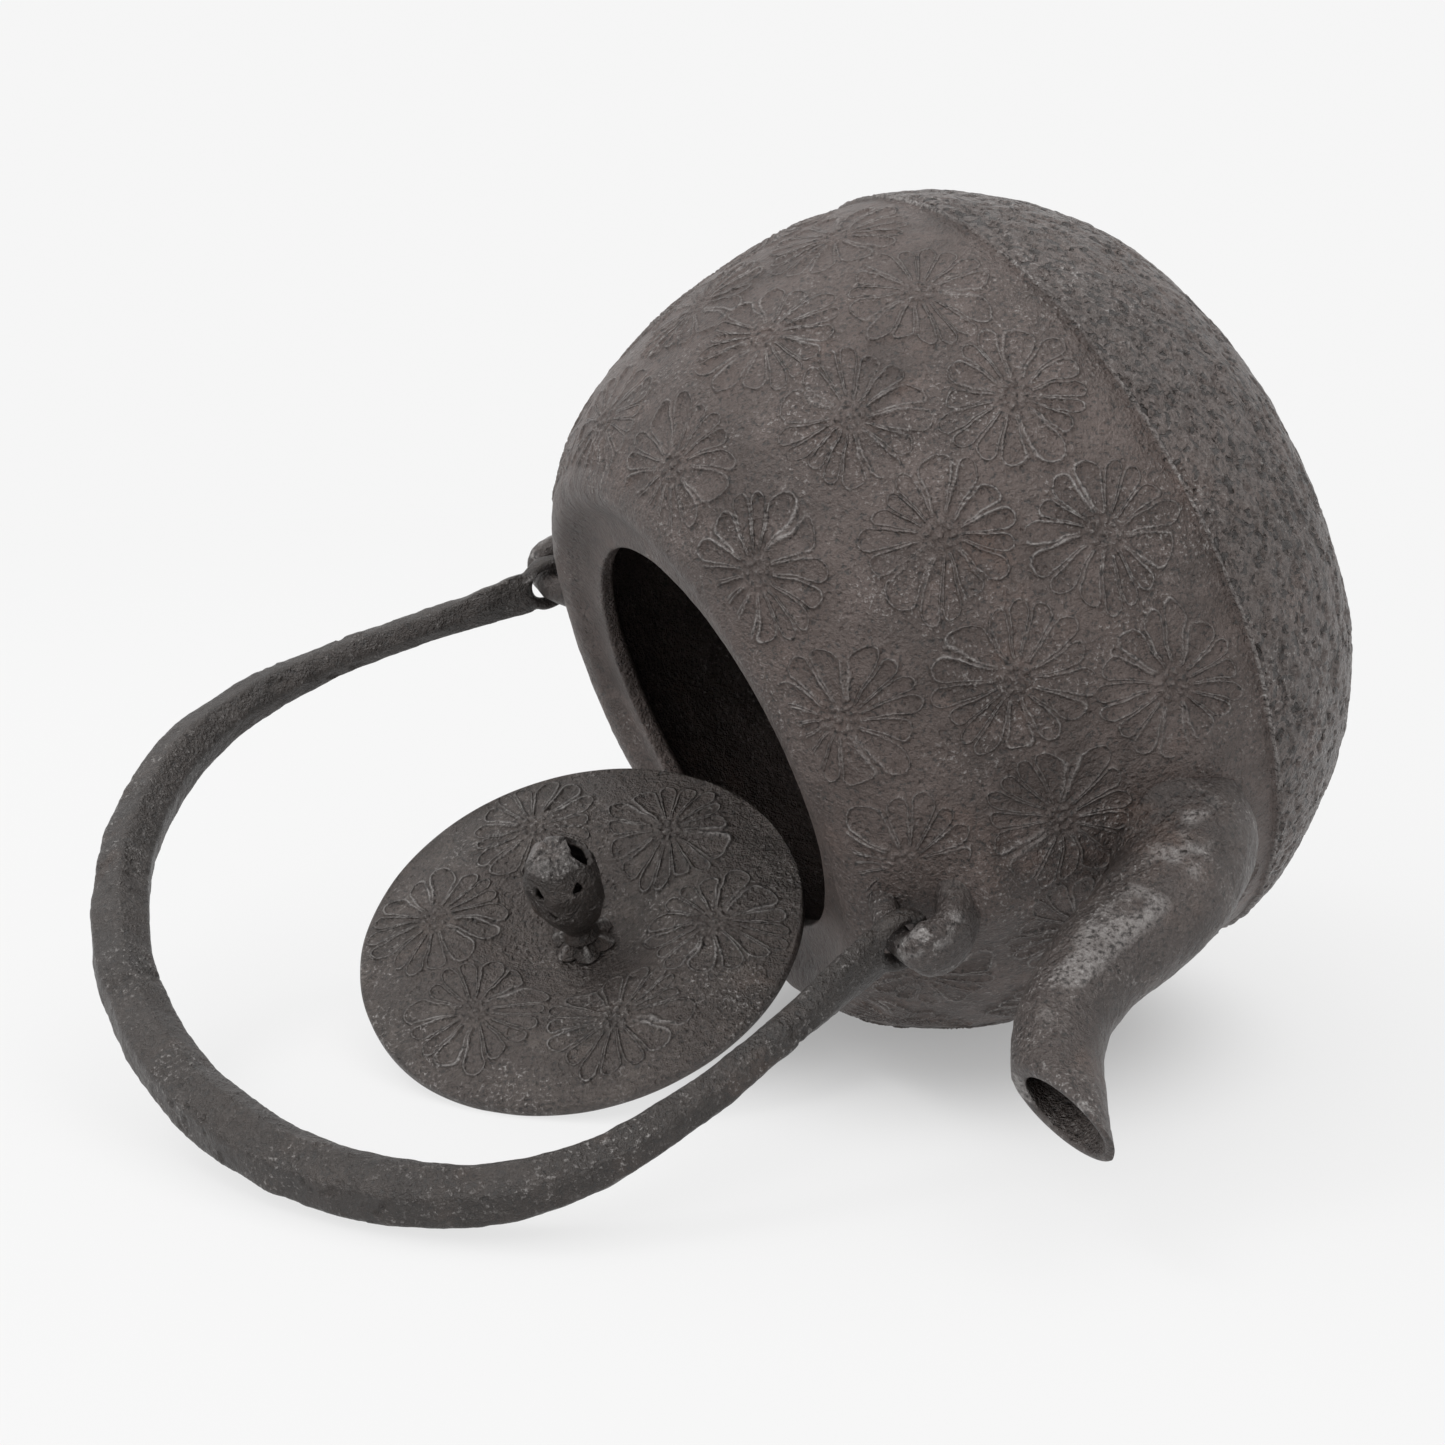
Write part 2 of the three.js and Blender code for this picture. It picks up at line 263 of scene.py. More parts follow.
def cast(name, meshes, voxel, rounding, cut=()):
    """One closed skin round the given closed meshes, with its edges rounded as in a casting."""
    whole = bpy.data.meshes.new(name)
    points = [points_of(mesh) for mesh in meshes]
    starts = np.concatenate([[0], np.cumsum([len(p) for p in points])])
    faces = []
    for start, mesh in zip(starts, meshes):
        faces += [[v + int(start) for v in face.vertices] for face in mesh.polygons]
    whole.from_pydata(np.concatenate(points).tolist(), [], faces)
    obj = add_object(name + "_raw", whole)
    cutters = []
    for mesh in [whole] + list(cut):
        face_outwards(mesh)
    for i, mesh in enumerate(cut):
        cutters.append(add_object(f"{name}_cut_{i}", mesh))
        hole = obj.modifiers.new("hole", "BOOLEAN")
        hole.operation = "DIFFERENCE"
        hole.object = cutters[-1]
        hole.solver = "EXACT"
    skin = obj.modifiers.new("skin", "REMESH")
    skin.mode = "VOXEL"
    skin.voxel_size = voxel
    smooth = obj.modifiers.new("rounding", "SMOOTH")
    smooth.factor = 0.5
    smooth.iterations = rounding
    result = bpy.data.meshes.new_from_object(obj.evaluated_get(bpy.context.evaluated_depsgraph_get()))
    for temporary in [obj] + cutters:
        bpy.data.objects.remove(temporary)
    return result


def facet(angle, sides, turn=0.0):
    """Radius of a polygon of unit corner radius at an angle, and 0..1 for how near a corner the angle is."""
    sector = 2 * math.pi / sides
    folded = ((angle - turn) / sector - np.round((angle - turn) / sector)) * sector
    corner = np.exp(-(((np.abs(folded) - sector / 2) / 0.12) ** 2))
    return math.cos(sector / 2) / np.cos(folded), corner


def tube(name, path, widths, sides, square=2.0, facets=None):
    """A bar along a path in the XZ plane. widths(t) gives its half widths across Y and in the plane.

    square above 2 makes its section squarer. facets is the number of its flats, their turn and depth.
    """
    normal = np.cross(Y_AXIS, directions(path))
    t = np.linspace(0, 1, len(path))
    across, in_plane = widths(t)
    angle = around(sides) + 0.5 * math.pi / sides
    c, s = np.cos(angle), np.sin(angle)
    c, s = np.sign(c) * np.abs(c) ** (2 / square), np.sign(s) * np.abs(s) ** (2 / square)
    if facets:
        flats, turn, depth = facets
        flat = 1 + depth * (facet(angle, flats, turn)[0] - 0.95)
        c, s = c * flat, s * flat
    ring = across[:, None, None] * c[None, :, None] * Y_AXIS
    ring = ring + in_plane[:, None, None] * s[None, :, None] * normal[:, None, :]
    points = (path[:, None, :] + ring).reshape(-1, 3)
    caps = [list(range(sides))[::-1], list(range(len(points) - sides, len(points)))]
    return make_mesh(name, points, grid_faces(len(path), sides), caps)


def in_plane(points):
    """[x, z] points as points of the XZ plane."""
    p = np.asarray(points, float)
    return np.stack([p[:, 0], 0 * p[:, 0], p[:, 1]], 1)


# ---- materials ----


def set_inputs(node, **values):
    """Sets a node's inputs. An underscore in a name stands for a space."""
    for name, value in values.items():
        node.inputs[name.replace("_", " ")].default_value = value


class Value:
    """A number or vector in a material. Arithmetic on it adds Math nodes."""

    def __init__(self, tree, socket):
        self.tree = tree
        self.socket = socket

    def op(self, kind, *others):
        node = self.tree.nodes.new("ShaderNodeMath")
        node.operation = kind
        for i, value in enumerate((self,) + others):
            if isinstance(value, Value):
                self.tree.links.new(value.socket, node.inputs[i])
            else:
                node.inputs[i].default_value = value
        return Value(self.tree, node.outputs[0])

    def __add__(self, other):
        return self.op("ADD", other)

    def __sub__(self, other):
        return self.op("SUBTRACT", other)

    def __mul__(self, other):
        return self.op("MULTIPLY", other)

    def __truediv__(self, other):
        return self.op("DIVIDE", other)

    def folded(self, sectors, turn=0.0):
        """An angle as its distance from the middle of its sector, one of a number round a circle."""
        share = (self - turn) / (2 * math.pi / sectors)
        return (share - share.op("ROUND")) * (2 * math.pi / sectors)

    def between(self, low, high):
        """0 below low, 1 above high, smooth between. low may be the larger."""
        node = self.tree.nodes.new("ShaderNodeMapRange")
        node.interpolation_type = "SMOOTHSTEP"
        self.tree.links.new(self.socket, node.inputs["Value"])
        if low < high:
            set_inputs(node, From_Min=low, From_Max=high)
        else:
            set_inputs(node, From_Min=high, From_Max=low, To_Min=1, To_Max=0)
        return Value(self.tree, node.outputs["Result"])


def noise_node(tree, coords, size_mm, detail=3.0, roughness=0.55, distortion=0.0):
    node = tree.nodes.new("ShaderNodeTexNoise")
    tree.links.new(coords, node.inputs["Vector"])
    set_inputs(node, Scale=1 / (size_mm * MM), Detail=detail, Roughness=roughness, Distortion=distortion)
    return Value(tree, node.outputs[0])


def attribute_node(tree, name):
    node = tree.nodes.new("ShaderNodeAttribute")
    node.attribute_name = name
    return node


def mix_colour(tree, factor, a, b):
    node = tree.nodes.new("ShaderNodeMix")
    node.data_type = "RGBA"
    tree.links.new(factor.socket, node.inputs[0])
    for value, socket in ((a, node.inputs[6]), (b, node.inputs[7])):
        if isinstance(value, tuple):
            socket.default_value = value + (1,)
        else:
            tree.links.new(value, socket)
    return node.outputs[2]


def plain_material(name):
    """A new material with its node tree and shader."""
    material = bpy.data.materials.new(name)
    material.use_nodes = True
    return material, material.node_tree, material.node_tree.nodes["Principled BSDF"]


PETALS = 15
BLOOM_RADIUS = 13.6
HALF_SECTOR = math.pi / PETALS
HALF_PETAL = 0.80 * HALF_SECTOR
CAP_CENTRE = BLOOM_RADIUS / (1 + math.sin(HALF_PETAL))
CAP_RADIUS = CAP_CENTRE * math.sin(HALF_PETAL)
BEADS = 8
BEAD_RING = 2.2
BEAD_TURN = 0.3
# petal lines start between these distances from a flower's middle
LINE_START, LINE_FULL = 3.0, 4.2
# a petal coordinate that lies outside every flower
NO_FLOWER = 50.0
# a face that spans more than this in petal coordinates joins two flowers
WIDEST_FACE = 3.0


def bloom_value(tree):
    """Distance in mm from the nearest petal line and from the flower's middle, and 0..1 for its beads."""
    split = tree.nodes.new("ShaderNodeSeparateXYZ")
    tree.links.new(attribute_node(tree, "bloom").outputs["Vector"], split.inputs[0])
    u, v = Value(tree, split.outputs[0]), Value(tree, split.outputs[1])
    r = (u * u + v * v).op("SQRT")
    folded = v.op("ARCTAN2", u).folded(PETALS)
    x = r * folded.op("COSINE")
    y = (r * folded.op("SINE")).op("ABSOLUTE")
    s, c = math.sin(HALF_PETAL), math.cos(HALF_PETAL)
    side = (x * s - y * c).op("ABSOLUTE")
    ax = x - CAP_CENTRE
    cap = ((ax * ax + y * y).op("SQRT") - CAP_RADIUS).op("ABSOLUTE")
    along = x * c + y * s
    beyond = along.op("GREATER_THAN", CAP_CENTRE * c)
    folded = v.op("ARCTAN2", u).folded(BEADS, BEAD_TURN)
    bx, by = r * folded.op("COSINE") - BEAD_RING, r * folded.op("SINE")
    ring = ((bx * bx + by * by) * -2.4).op("EXPONENT")
    bead = ring.op("MAXIMUM", (r * r * -1.8).op("EXPONENT"))
    return side + (cap - side) * beyond, r, bead


RUST = (0.13, 0.062, 0.035)
COARSE_TONE = (0.082, 0.068, 0.062)
# grey of bare rubbed metal, also the colour of the painted highlight along the spout
BARE_METAL_AND_SHEEN = (0.36, 0.345, 0.335)
RUBBED_LINE = (0.30, 0.285, 0.275)
PORE = (0.014, 0.012, 0.011)
METALLIC = 0.3
SPECULAR = 0.8
# how far each layer of the bump stands up, in mm
FINE_BUMP, DUST_BUMP, SAND_BUMP, CLOUD_BUMP, HAMMERED_BUMP = 0.74, 0.34, 0.8, 0.5, 0.45
LINE_BUMP, BEAD_BUMP, PIT_BUMP = 0.44, 0.5, 2.0
PIT_SIZE = 1.5


def iron(name, tones, wear, wear_size, grain, rust, pitting, roughness=0.5, bloom=False):
    """Cast iron with a brown patina: tones from dark to light, worn grey high spots, fine grain, pores.

    The mesh may store relief (0..1 where it is lighter grey: rubbed spots, and on the spout partly a painted
    highlight), coarse (0..1 where the casting is coarse) and bloom (petal coordinates, for the fine part of
    the flowers' lines).
    """
    material, tree, shader = plain_material(name)
    coords = tree.nodes.new("ShaderNodeTexCoord").outputs["Object"]

    def speckle(size, *rest):
        return noise_node(tree, coords, size, *rest)

    blotch = speckle(34, 3, 0.6)
    cloud = speckle(7, 4, 0.6)
    fine = speckle(grain, 4, 0.65)
    dust = speckle(0.45, 2, 0.6)
    patch = speckle(wear_size, 3, 0.6, 0.6)
    relief = Value(tree, attribute_node(tree, "relief").outputs["Fac"])
    coarse = Value(tree, attribute_node(tree, "coarse").outputs["Fac"])

    dark, middle, light = tones
    base = mix_colour(tree, blotch.between(0.38, 0.62), middle, dark)
    base = mix_colour(tree, cloud.between(0.42, 0.75), base, light)
    warm = (speckle(22, 3, 0.6).between(0.52, 0.72) * cloud.between(0.4, 0.65)) * rust
    base = mix_colour(tree, warm, base, RUST)
    # bare grey metal on the tops of grains and lines, in patches; on the spout the relief also brings in a
    # painted highlight
    zone = patch.between(0.42, 0.66) * 0.85 + 0.15
    tops = fine.between(0.52, 0.66) * dust.between(0.42, 0.58) * zone
    base = mix_colour(tree, coarse * 0.3, base, COARSE_TONE)
    worn = (tops * wear + relief.between(0.3, 0.95) * (fine.between(0.3, 0.6) * 0.5)).op("MINIMUM", 0.95)
    base = mix_colour(tree, worn + coarse * (fine.between(0.46, 0.62) * 0.07), base, BARE_METAL_AND_SHEEN)
    if bloom:
        distance, r, bead = bloom_value(tree)
        line = (distance * distance * -16.0).op("EXPONENT")
        line = line * (r.between(LINE_START, LINE_FULL) * cloud.between(0.25, 0.42))
        base = mix_colour(tree, (line + bead * 0.5) * (dust.between(0.35, 0.6) * 0.32), base, RUBBED_LINE)
    # pores between the grains, and the hollows of the coarse casting
    hammered = speckle(1.6, 2, 0.5, 0.3).between(0.45, 0.37) * coarse
    hollow = (fine.between(0.475, 0.35) * 0.85).op("MAXIMUM", hammered * 0.8)
    base = mix_colour(tree, hollow, base, PORE)
    tree.links.new(base, shader.inputs["Base Color"])
    shade = cloud * 0.2 + fine * 0.25 + (roughness - 0.28) - worn * 0.16 - coarse * 0.08
    tree.links.new(shade.socket, shader.inputs["Roughness"])
    set_inputs(shader, Metallic=METALLIC, Specular_IOR_Level=SPECULAR)

    sand = speckle(2.1, 3, 0.6)
    height = fine * (FINE_BUMP * MM) + dust * (DUST_BUMP * MM) + sand * (SAND_BUMP * MM)
    height = height + cloud * (CLOUD_BUMP * MM) - hammered * (HAMMERED_BUMP * MM)
    cells = tree.nodes.new("ShaderNodeTexVoronoi")
    cells.feature = "SMOOTH_F1"
    tree.links.new(coords, cells.inputs["Vector"])
    set_inputs(cells, Scale=1 / (PIT_SIZE * MM), Smoothness=0.3)
    pit = Value(tree, cells.outputs["Distance"]).between(0.34, 0.08)
    height = height - pit * (speckle(5, 2).between(0.42, 0.6) * (PIT_BUMP * pitting * MM))
    if bloom:
        height = height + line * (LINE_BUMP * MM) + bead * (BEAD_BUMP * MM)
    bump = tree.nodes.new("ShaderNodeBump")
    set_inputs(bump, Strength=1.0, Distance=1.0)
    tree.links.new(height.socket, bump.inputs["Height"])
    tree.links.new(bump.outputs["Normal"], shader.inputs["Normal"])
    return material


# dark, middle and light brown of each casting
BODY_TONES = ((0.044, 0.030, 0.025), (0.068, 0.048, 0.041), (0.092, 0.068, 0.060))
SPOUT_TONES = ((0.031, 0.023, 0.020), (0.049, 0.037, 0.033), (0.070, 0.056, 0.050))
HANDLE_TONES = ((0.013, 0.009, 0.007), (0.020, 0.014, 0.011), (0.033, 0.025, 0.021))
LID_TONES = ((0.033, 0.025, 0.021), (0.051, 0.039, 0.034), (0.076, 0.061, 0.053))
KNOB_TONES = ((0.022, 0.016, 0.013), (0.032, 0.024, 0.020), (0.048, 0.037, 0.032))
BODY_IRON = iron("kettle_iron", BODY_TONES, 0.6, 20, grain=0.85, rust=0.25, pitting=0.14, bloom=True)
SPOUT_IRON = iron("spout_iron", SPOUT_TONES, 0.8, 14, grain=0.85, rust=0.2, pitting=0.2, roughness=0.47)
HANDLE_IRON = iron("handle_iron", HANDLE_TONES, 0.5, 11, grain=1.0, rust=0.1, pitting=0.08, roughness=0.48)
LID_IRON = iron("lid_iron", LID_TONES, 0.7, 14, grain=0.85, rust=0.12, pitting=0.16, bloom=True)
KNOB_IRON = iron("knob_iron", KNOB_TONES, 0.6, 8, grain=0.8, rust=0.35, pitting=0.1)

# ---- the flower relief ----


def petal_distance(u, v):
    """Distance in mm from the nearest petal line: its straight sides, or the arc of its end."""
    r = np.hypot(u, v)
    turn = np.arctan2(v, u) / (2 * HALF_SECTOR)
    folded = (turn - np.round(turn)) * 2 * HALF_SECTOR
    x, y = r * np.cos(folded), np.abs(r * np.sin(folded))
    s, c = math.sin(HALF_PETAL), math.cos(HALF_PETAL)
    side = np.abs(x * s - y * c)
    cap = np.abs(np.hypot(x - CAP_CENTRE, y) - CAP_RADIUS)
    return np.where(x * c + y * s > CAP_CENTRE * c, cap, side)


def bloom_height(u, v, vary):
    """Height in mm of a flower's lines and centre beads, and 0..1 for how far up a line a point is."""
    r = np.hypot(u, v)
    line = np.exp(-((petal_distance(u, v) / 0.34) ** 2))
    line = line * step(LINE_START, LINE_FULL, r) * (r < BLOOM_RADIUS + 2)
    bead = np.zeros(len(u))
    for count, ring, size in ((1, 0.0, 0.85), (BEADS, BEAD_RING, 0.68)):
        for i in range(count):
            a = 2 * math.pi * i / count + BEAD_TURN
            away = (u - ring * math.cos(a)) ** 2 + (v - ring * math.sin(a)) ** 2
            bead = np.maximum(bead, np.exp(-away / size**2))
    dish = -0.07 * step(3.0, 7.0, r) * step(BLOOM_RADIUS, BLOOM_RADIUS - 2, r)
    crest = np.maximum(0.8 * line**1.5 * vary * step(4.5, 7.0, r), 0.5 * bead)
    return 0.42 * line * vary + 0.55 * bead + dish, crest


def nearest_bloom(x, y, points, centres, seed):
    """Petal coordinates of each point round the nearest centre, hand-drawn: turned and wavering.

    Where a centre has a wrap radius, x is an angle round that radius.
    """
    best = np.full(len(x), 1e9)
    u, v = np.full(len(x), NO_FLOWER), np.full(len(x), NO_FLOWER)
    for i, (cx, cy, wrap) in enumerate(centres):
        dx, dy = x - cx, y - cy
        if wrap is not None:
            dx = ((dx + math.pi) % (2 * math.pi) - math.pi) * wrap
        squared = dx * dx + dy * dy
        close = (squared < best) & (squared < 300)
        angle = 2.4 * i + seed
        c, s = math.cos(angle), math.sin(angle)
        stretch = 1 + 0.07 * math.sin(3.7 * i + seed)
        a = (c * dx[close] + s * dy[close]) * stretch
        b = (c * dy[close] - s * dx[close]) / stretch
        turn = np.arctan2(b, a)
        length = np.hypot(a, b)
        uneven = 0.11 * np.sin(2 * turn + 1.9 * i) + 0.07 * np.sin(3 * turn + 4.1 * i)
        uneven += 0.035 * np.sin(5 * turn + 2.3 * i)
        length = length * (1 + 0.06 * np.sin(4 * turn + 2.7 * i) + 0.05 * np.sin(7 * turn + 1.1 * i))
        u[close] = length * np.cos(turn + uneven)
        v[close] = length * np.sin(turn + uneven)
        best[close] = squared[close]
    reached = best < 400
    waver = np.zeros((len(x), 2))
    for k in (0, 1):
        waver[reached, k] = 0.62 * noise(points[reached], 6.5, seed + 11 + k)
        waver[reached, k] += 0.22 * noise(points[reached], 2.6, seed + 17 + k)
    fade = step(1.0, 4.0, np.sqrt(np.minimum(best, 400)))
    return u + waver[:, 0] * fade, v + waver[:, 1] * fade


def store(mesh, name, values):
    attribute = mesh.attributes.new(name, "FLOAT", "POINT")
    attribute.data.foreach_set("value", values.astype(np.float32))


def store_bloom(mesh, u, v):
    """Petal coordinates at face corners. A face that joins two flowers belongs to neither."""
    corner = np.empty(len(mesh.loops), np.int32)
    mesh.loops.foreach_get("vertex_index", corner)
    full = np.stack([u[corner], v[corner], np.zeros(len(corner))], 1)
    start = np.empty(len(mesh.polygons), np.int32)
    total = np.empty(len(mesh.polygons), np.int32)
    mesh.polygons.foreach_get("loop_start", start)
    mesh.polygons.foreach_get("loop_total", total)
    quads = start[total == 4]
    block = full[quads[:, None] + np.arange(4)]
    spread = (block.max(1) - block.min(1)).max(1)
    full[(quads[spread > WIDEST_FACE][:, None] + np.arange(4)).reshape(-1)] = (NO_FLOWER, NO_FLOWER, 0.0)
    attribute = mesh.attributes.new("bloom", "FLOAT_VECTOR", "CORNER")
    attribute.data.foreach_set("vector", full.astype(np.float32).reshape(-1))


# ---- kettle body ----

BASE_RADIUS = 46.0
OPENING_RADIUS = 41.7
LEDGE_HEIGHT = 119.5
WALL = 3.2
SEAM_HEIGHT = 44.3
MERIDIAN = [
    (52, 2.4), (66.5, 11), (77.3, 25), (83.6, 41.5), (85, 60),
    (82.3, 80), (77, 97.5), (69.4, 111.5), (61.5, 119.5),
]
RIM = [(58.6, 121.7), (55.4, 122.6), (52.2, 122.0), (49.8, 120.2)]
ROW_SPACING = 0.5
COLUMNS = 1080
INNER_COLUMNS = COLUMNS // STEPS_IN_ONE


def smoothed(points, spacing, passes):
    """The polyline evenly resampled, with its corners rounded."""
    p = resample(np.asarray(points, float), spacing)
    for _ in range(passes):
        p[1:-1] = 0.25 * p[:-2] + 0.5 * p[1:-1] + 0.25 * p[2:]
    return p


outside = smoothed(np.concatenate([[(BASE_RADIUS, 0.0)], spline(MERIDIAN, 400)]), ROW_SPACING, 3)
LEDGE = [
    (48.5, LEDGE_HEIGHT + 0.1), (46.5, LEDGE_HEIGHT), (OPENING_RADIUS + 0.6, LEDGE_HEIGHT),
    (OPENING_RADIUS, LEDGE_HEIGHT - 0.7), (OPENING_RADIUS, LEDGE_HEIGHT - WALL),
]
rim_line = smoothed(np.concatenate([spline(MERIDIAN[-1:] + RIM, 80), LEDGE]), ROW_SPACING, 2)
# rows lie closer together across the seam
seam_rows = np.arange(SEAM_HEIGHT - 1.8, SEAM_HEIGHT + 1.8, 0.14)
away_from_seam = (outside[:, 1] < seam_rows[0] - 0.2) | (outside[:, 1] > seam_rows[-1] + 0.2)
seam_radii = np.interp(seam_rows, outside[:, 1], outside[:, 0])
below_seam = outside[away_from_seam & (outside[:, 1] < SEAM_HEIGHT)]
above_seam = outside[away_from_seam & (outside[:, 1] > SEAM_HEIGHT)]
outside = np.concatenate([below_seam, np.stack([seam_radii, seam_rows], 1), above_seam])
profile = np.concatenate([outside, rim_line[1:]])
arc = np.concatenate([[0], np.cumsum(np.linalg.norm(np.diff(profile, axis=0), axis=1))])
SURFACE = np.concatenate([outside, spline(MERIDIAN[-1:] + RIM, 20)[1:]])
CHUNK = 20000


def above_body(points):
    """Distance of points from the kettle's outer surface, positive outside."""
    r, z = np.hypot(points[:, 0], points[:, 1]), points[:, 2]
    out = outward(SURFACE)
    result = np.empty(len(r))
    for i in range(0, len(r), CHUNK):
        dr = r[i:i + CHUNK, None] - SURFACE[None, :, 0]
        dz = z[i:i + CHUNK, None] - SURFACE[None, :, 1]
        near = np.argmin(dr * dr + dz * dz, axis=1)
        rows = np.arange(len(near))
        result[i:i + CHUNK] = dr[rows, near] * out[near, 0] + dz[rows, near] * out[near, 1]
    return result


def arc_at_height(z):
    """Arc length along the profile where the flank has this height."""
    return float(np.interp(z, outside[:, 1], arc[:len(outside)]))


def radius_at_height(z):
    return float(np.interp(z, outside[:, 1], outside[:, 0]))


# height of each row of flowers, how many there are, and the first one's angle
BLOOM_ROWS = ((62.5, 18, 1.3), (88.0, 18, 10.5), (114.5, 14, 35.1))


def body_blooms():
    centres = []
    for height, count, first in BLOOM_ROWS:
        for i in range(count):
            angle = math.radians(first + 360 / count * i)
            wander = 0.5 * math.sin(5.1 * i + height)
            centres.append((angle, arc_at_height(height) + wander, radius_at_height(height)))
    return centres


def body_mesh():
    rows = len(profile)
    angle = around(COLUMNS)
    points, normals = revolve(profile, angle), revolve(outward(profile), angle)
    s = np.repeat(arc, COLUMNS)
    z = points[:, 2]

    u, v = nearest_bloom(np.tile(angle, rows), s, points, body_blooms(), 3)
    vary = 0.45 + 0.75 * step(-0.55, 0.35, noise(points, 9, 41))
    flower, crest = bloom_height(u, v, vary)
    # flowers fade out at the foot of the rim, at the spout and at the lugs
    spout_root = np.sqrt((points[:, 0] - 82) ** 2 + points[:, 1] ** 2 + (z - 60) ** 2)
    lug_root = np.sqrt((np.abs(points[:, 0]) - 70) ** 2 + points[:, 1] ** 2 + (z - 110) ** 2)
    rim_foot = arc[len(outside) - 1]
    keep = step(rim_foot + 2.0, rim_foot, s) * step(16, 23, spout_root) * step(10, 16, lug_root)
    seam_arc = arc_at_height(SEAM_HEIGHT)
    keep = keep * step(seam_arc - 0.5, seam_arc + 1.5, s)
    flower, crest = flower * keep, crest * keep
    hidden = keep < 0.35
    u, v = np.where(hidden, NO_FLOWER, u), np.where(hidden, NO_FLOWER, v)

    # below the wavering seam the casting is coarser, pitted and stands proud
    seam_wave = seam_arc + 0.25 * noise(points, 22, 5)
    seam = bump_at(s, seam_wave, 0.34)
    lower = step(seam_wave + 0.25, seam_wave - 0.35, s)
    proud = 0.8 * lower * step(seam_arc - 22, seam_arc - 1, s)
    stretched = np.stack([points[:, 0], points[:, 1], points[:, 2] * 1.5], 1)
    pits = step(-0.02, -0.75, rough(stretched, 2.3, 3, 61))
    pits = pits * 0.45 * (0.2 + 0.8 * lower) * step(rim_foot - 4, rim_foot - 20, s) * step(4, 14, s)
    on_ledge = step(rim_foot + 8, rim_foot + 16, s)
    lumps = 0.22 * rough(points, 16, 2, 71) + 0.10 * rough(points, 4.2, 2, 75)
    grainy = (0.055 + 0.05 * lower) * rough(points, 1.5, 2, 81)
    # a mound carries the leg of each lug
    mound = np.sqrt((np.abs(points[:, 0]) - 74) ** 2 + (0.8 * points[:, 1]) ** 2 + (z - 102) ** 2)
    height = 3.2 * bump_at(mound, 0, 8) + flower + 0.5 * seam + proud - pits * (0.12 + 0.88 * lower)
    # the whole skin is set back so that its relief stays inside the smooth CAD solid's box
    set_back = 0.42 + 0.56 * bump_at(z, SEAM_HEIGHT, 30)
    height += (lumps + grainy) * (1 - 0.6 * on_ledge) - set_back
    points = points + normals * height[:, None]
    relief = np.maximum(crest, 0.95 * seam) * (0.55 + 0.45 * step(-0.5, 0.5, noise(points, 12, 91)))

    # inner surface, coarser, joined on under the lip
    flank = spline(MERIDIAN, 90)
    flank = flank - outward(flank) * WALL
    flank = flank[(flank[:, 1] > 6) & (flank[:, 0] > OPENING_RADIUS + 8)][::-1]
    inner = np.concatenate([[(OPENING_RADIUS + 3.0, 114.6)], flank, [(BASE_RADIUS, 4.2)], [(4.0, 4.0)]])
    inner = smoothed(inner, 2.0, 2)
    inside_points = revolve(inner, around(INNER_COLUMNS))
    inside_points = inside_points + 0.125 * rough(inside_points, 9, 2, 101)[:, None]
    # underside, with a shallow dished middle
    under = [(BASE_RADIUS - 1.2, 0.0), (BASE_RADIUS - 4, 0.1), (BASE_RADIUS - 6, 0.7), (12, 0.9), (9, 0.3)]
    under = smoothed(under + [(2, 0.3)], 1.5, 1)[::-1]
    under_points = revolve(under, around(INNER_COLUMNS))
    under_points[:, 2] += 0.12 * rough(under_points, 5, 3, 111)

    start_outer = len(under_points)
    start_inner = start_outer + len(points)
    quads = [grid_faces(len(under), INNER_COLUMNS, 0), grid_faces(rows, COLUMNS, start_outer),
             grid_faces(len(inner), INNER_COLUMNS, start_inner)]
    last_under = (len(under) - 1) * INNER_COLUMNS
    last_outer = start_outer + (rows - 1) * COLUMNS
    joins = joining_faces(INNER_COLUMNS, COLUMNS, last_under, start_outer, last_outer, start_inner)
    total = start_inner + len(inside_points)
    caps = [list(range(INNER_COLUMNS))[::-1], list(range(total - INNER_COLUMNS, total))]
    everything = np.concatenate([under_points, points, inside_points])
    mesh = make_mesh("kettle_body", everything, np.concatenate(quads), joins + caps)

    def padded(values, beneath, inside):
        """The outer skin's values, with one value for the underside and one for the inside."""
        return np.concatenate([np.full(start_outer, beneath), values, np.full(len(inside_points), inside)])

    store(mesh, "coarse", padded(lower, 1.0, 0.0))
    store(mesh, "relief", padded(relief, 0.0, 0.0))
    store_bloom(mesh, padded(u, NO_FLOWER, NO_FLOWER), padded(v, NO_FLOWER, NO_FLOWER))
    return mesh


place("kettle_shell", body_mesh(), KETTLE, "kettle", "kettle_body", BODY_IRON)

# ---- spout ----

SPOUT_PATH = [
    (72, 61), (85.5, 65), (93, 74.5), (96.8, 86), (99.6, 97.5), (104.3, 107.2), (110.8, 114), (119.5, 119.8),
    (129, 125.2),
]
SPOUT_RADII = (9.8, 10.6, 10.6, 10.1, 9.3, 8.5, 7.9, 7.5, 7.3)
SPOUT_WALL = 2.4
SPOUT_SLANT = math.radians(8)
SPOUT_TIP = (122.0, 120.8)
AXIS_STEPS = 300


def above_mouth(x, z):
    """Height over the plane of the spout's mouth."""
    return (x - SPOUT_TIP[0]) * math.sin(SPOUT_SLANT) + (z - SPOUT_TIP[1]) * math.cos(SPOUT_SLANT)


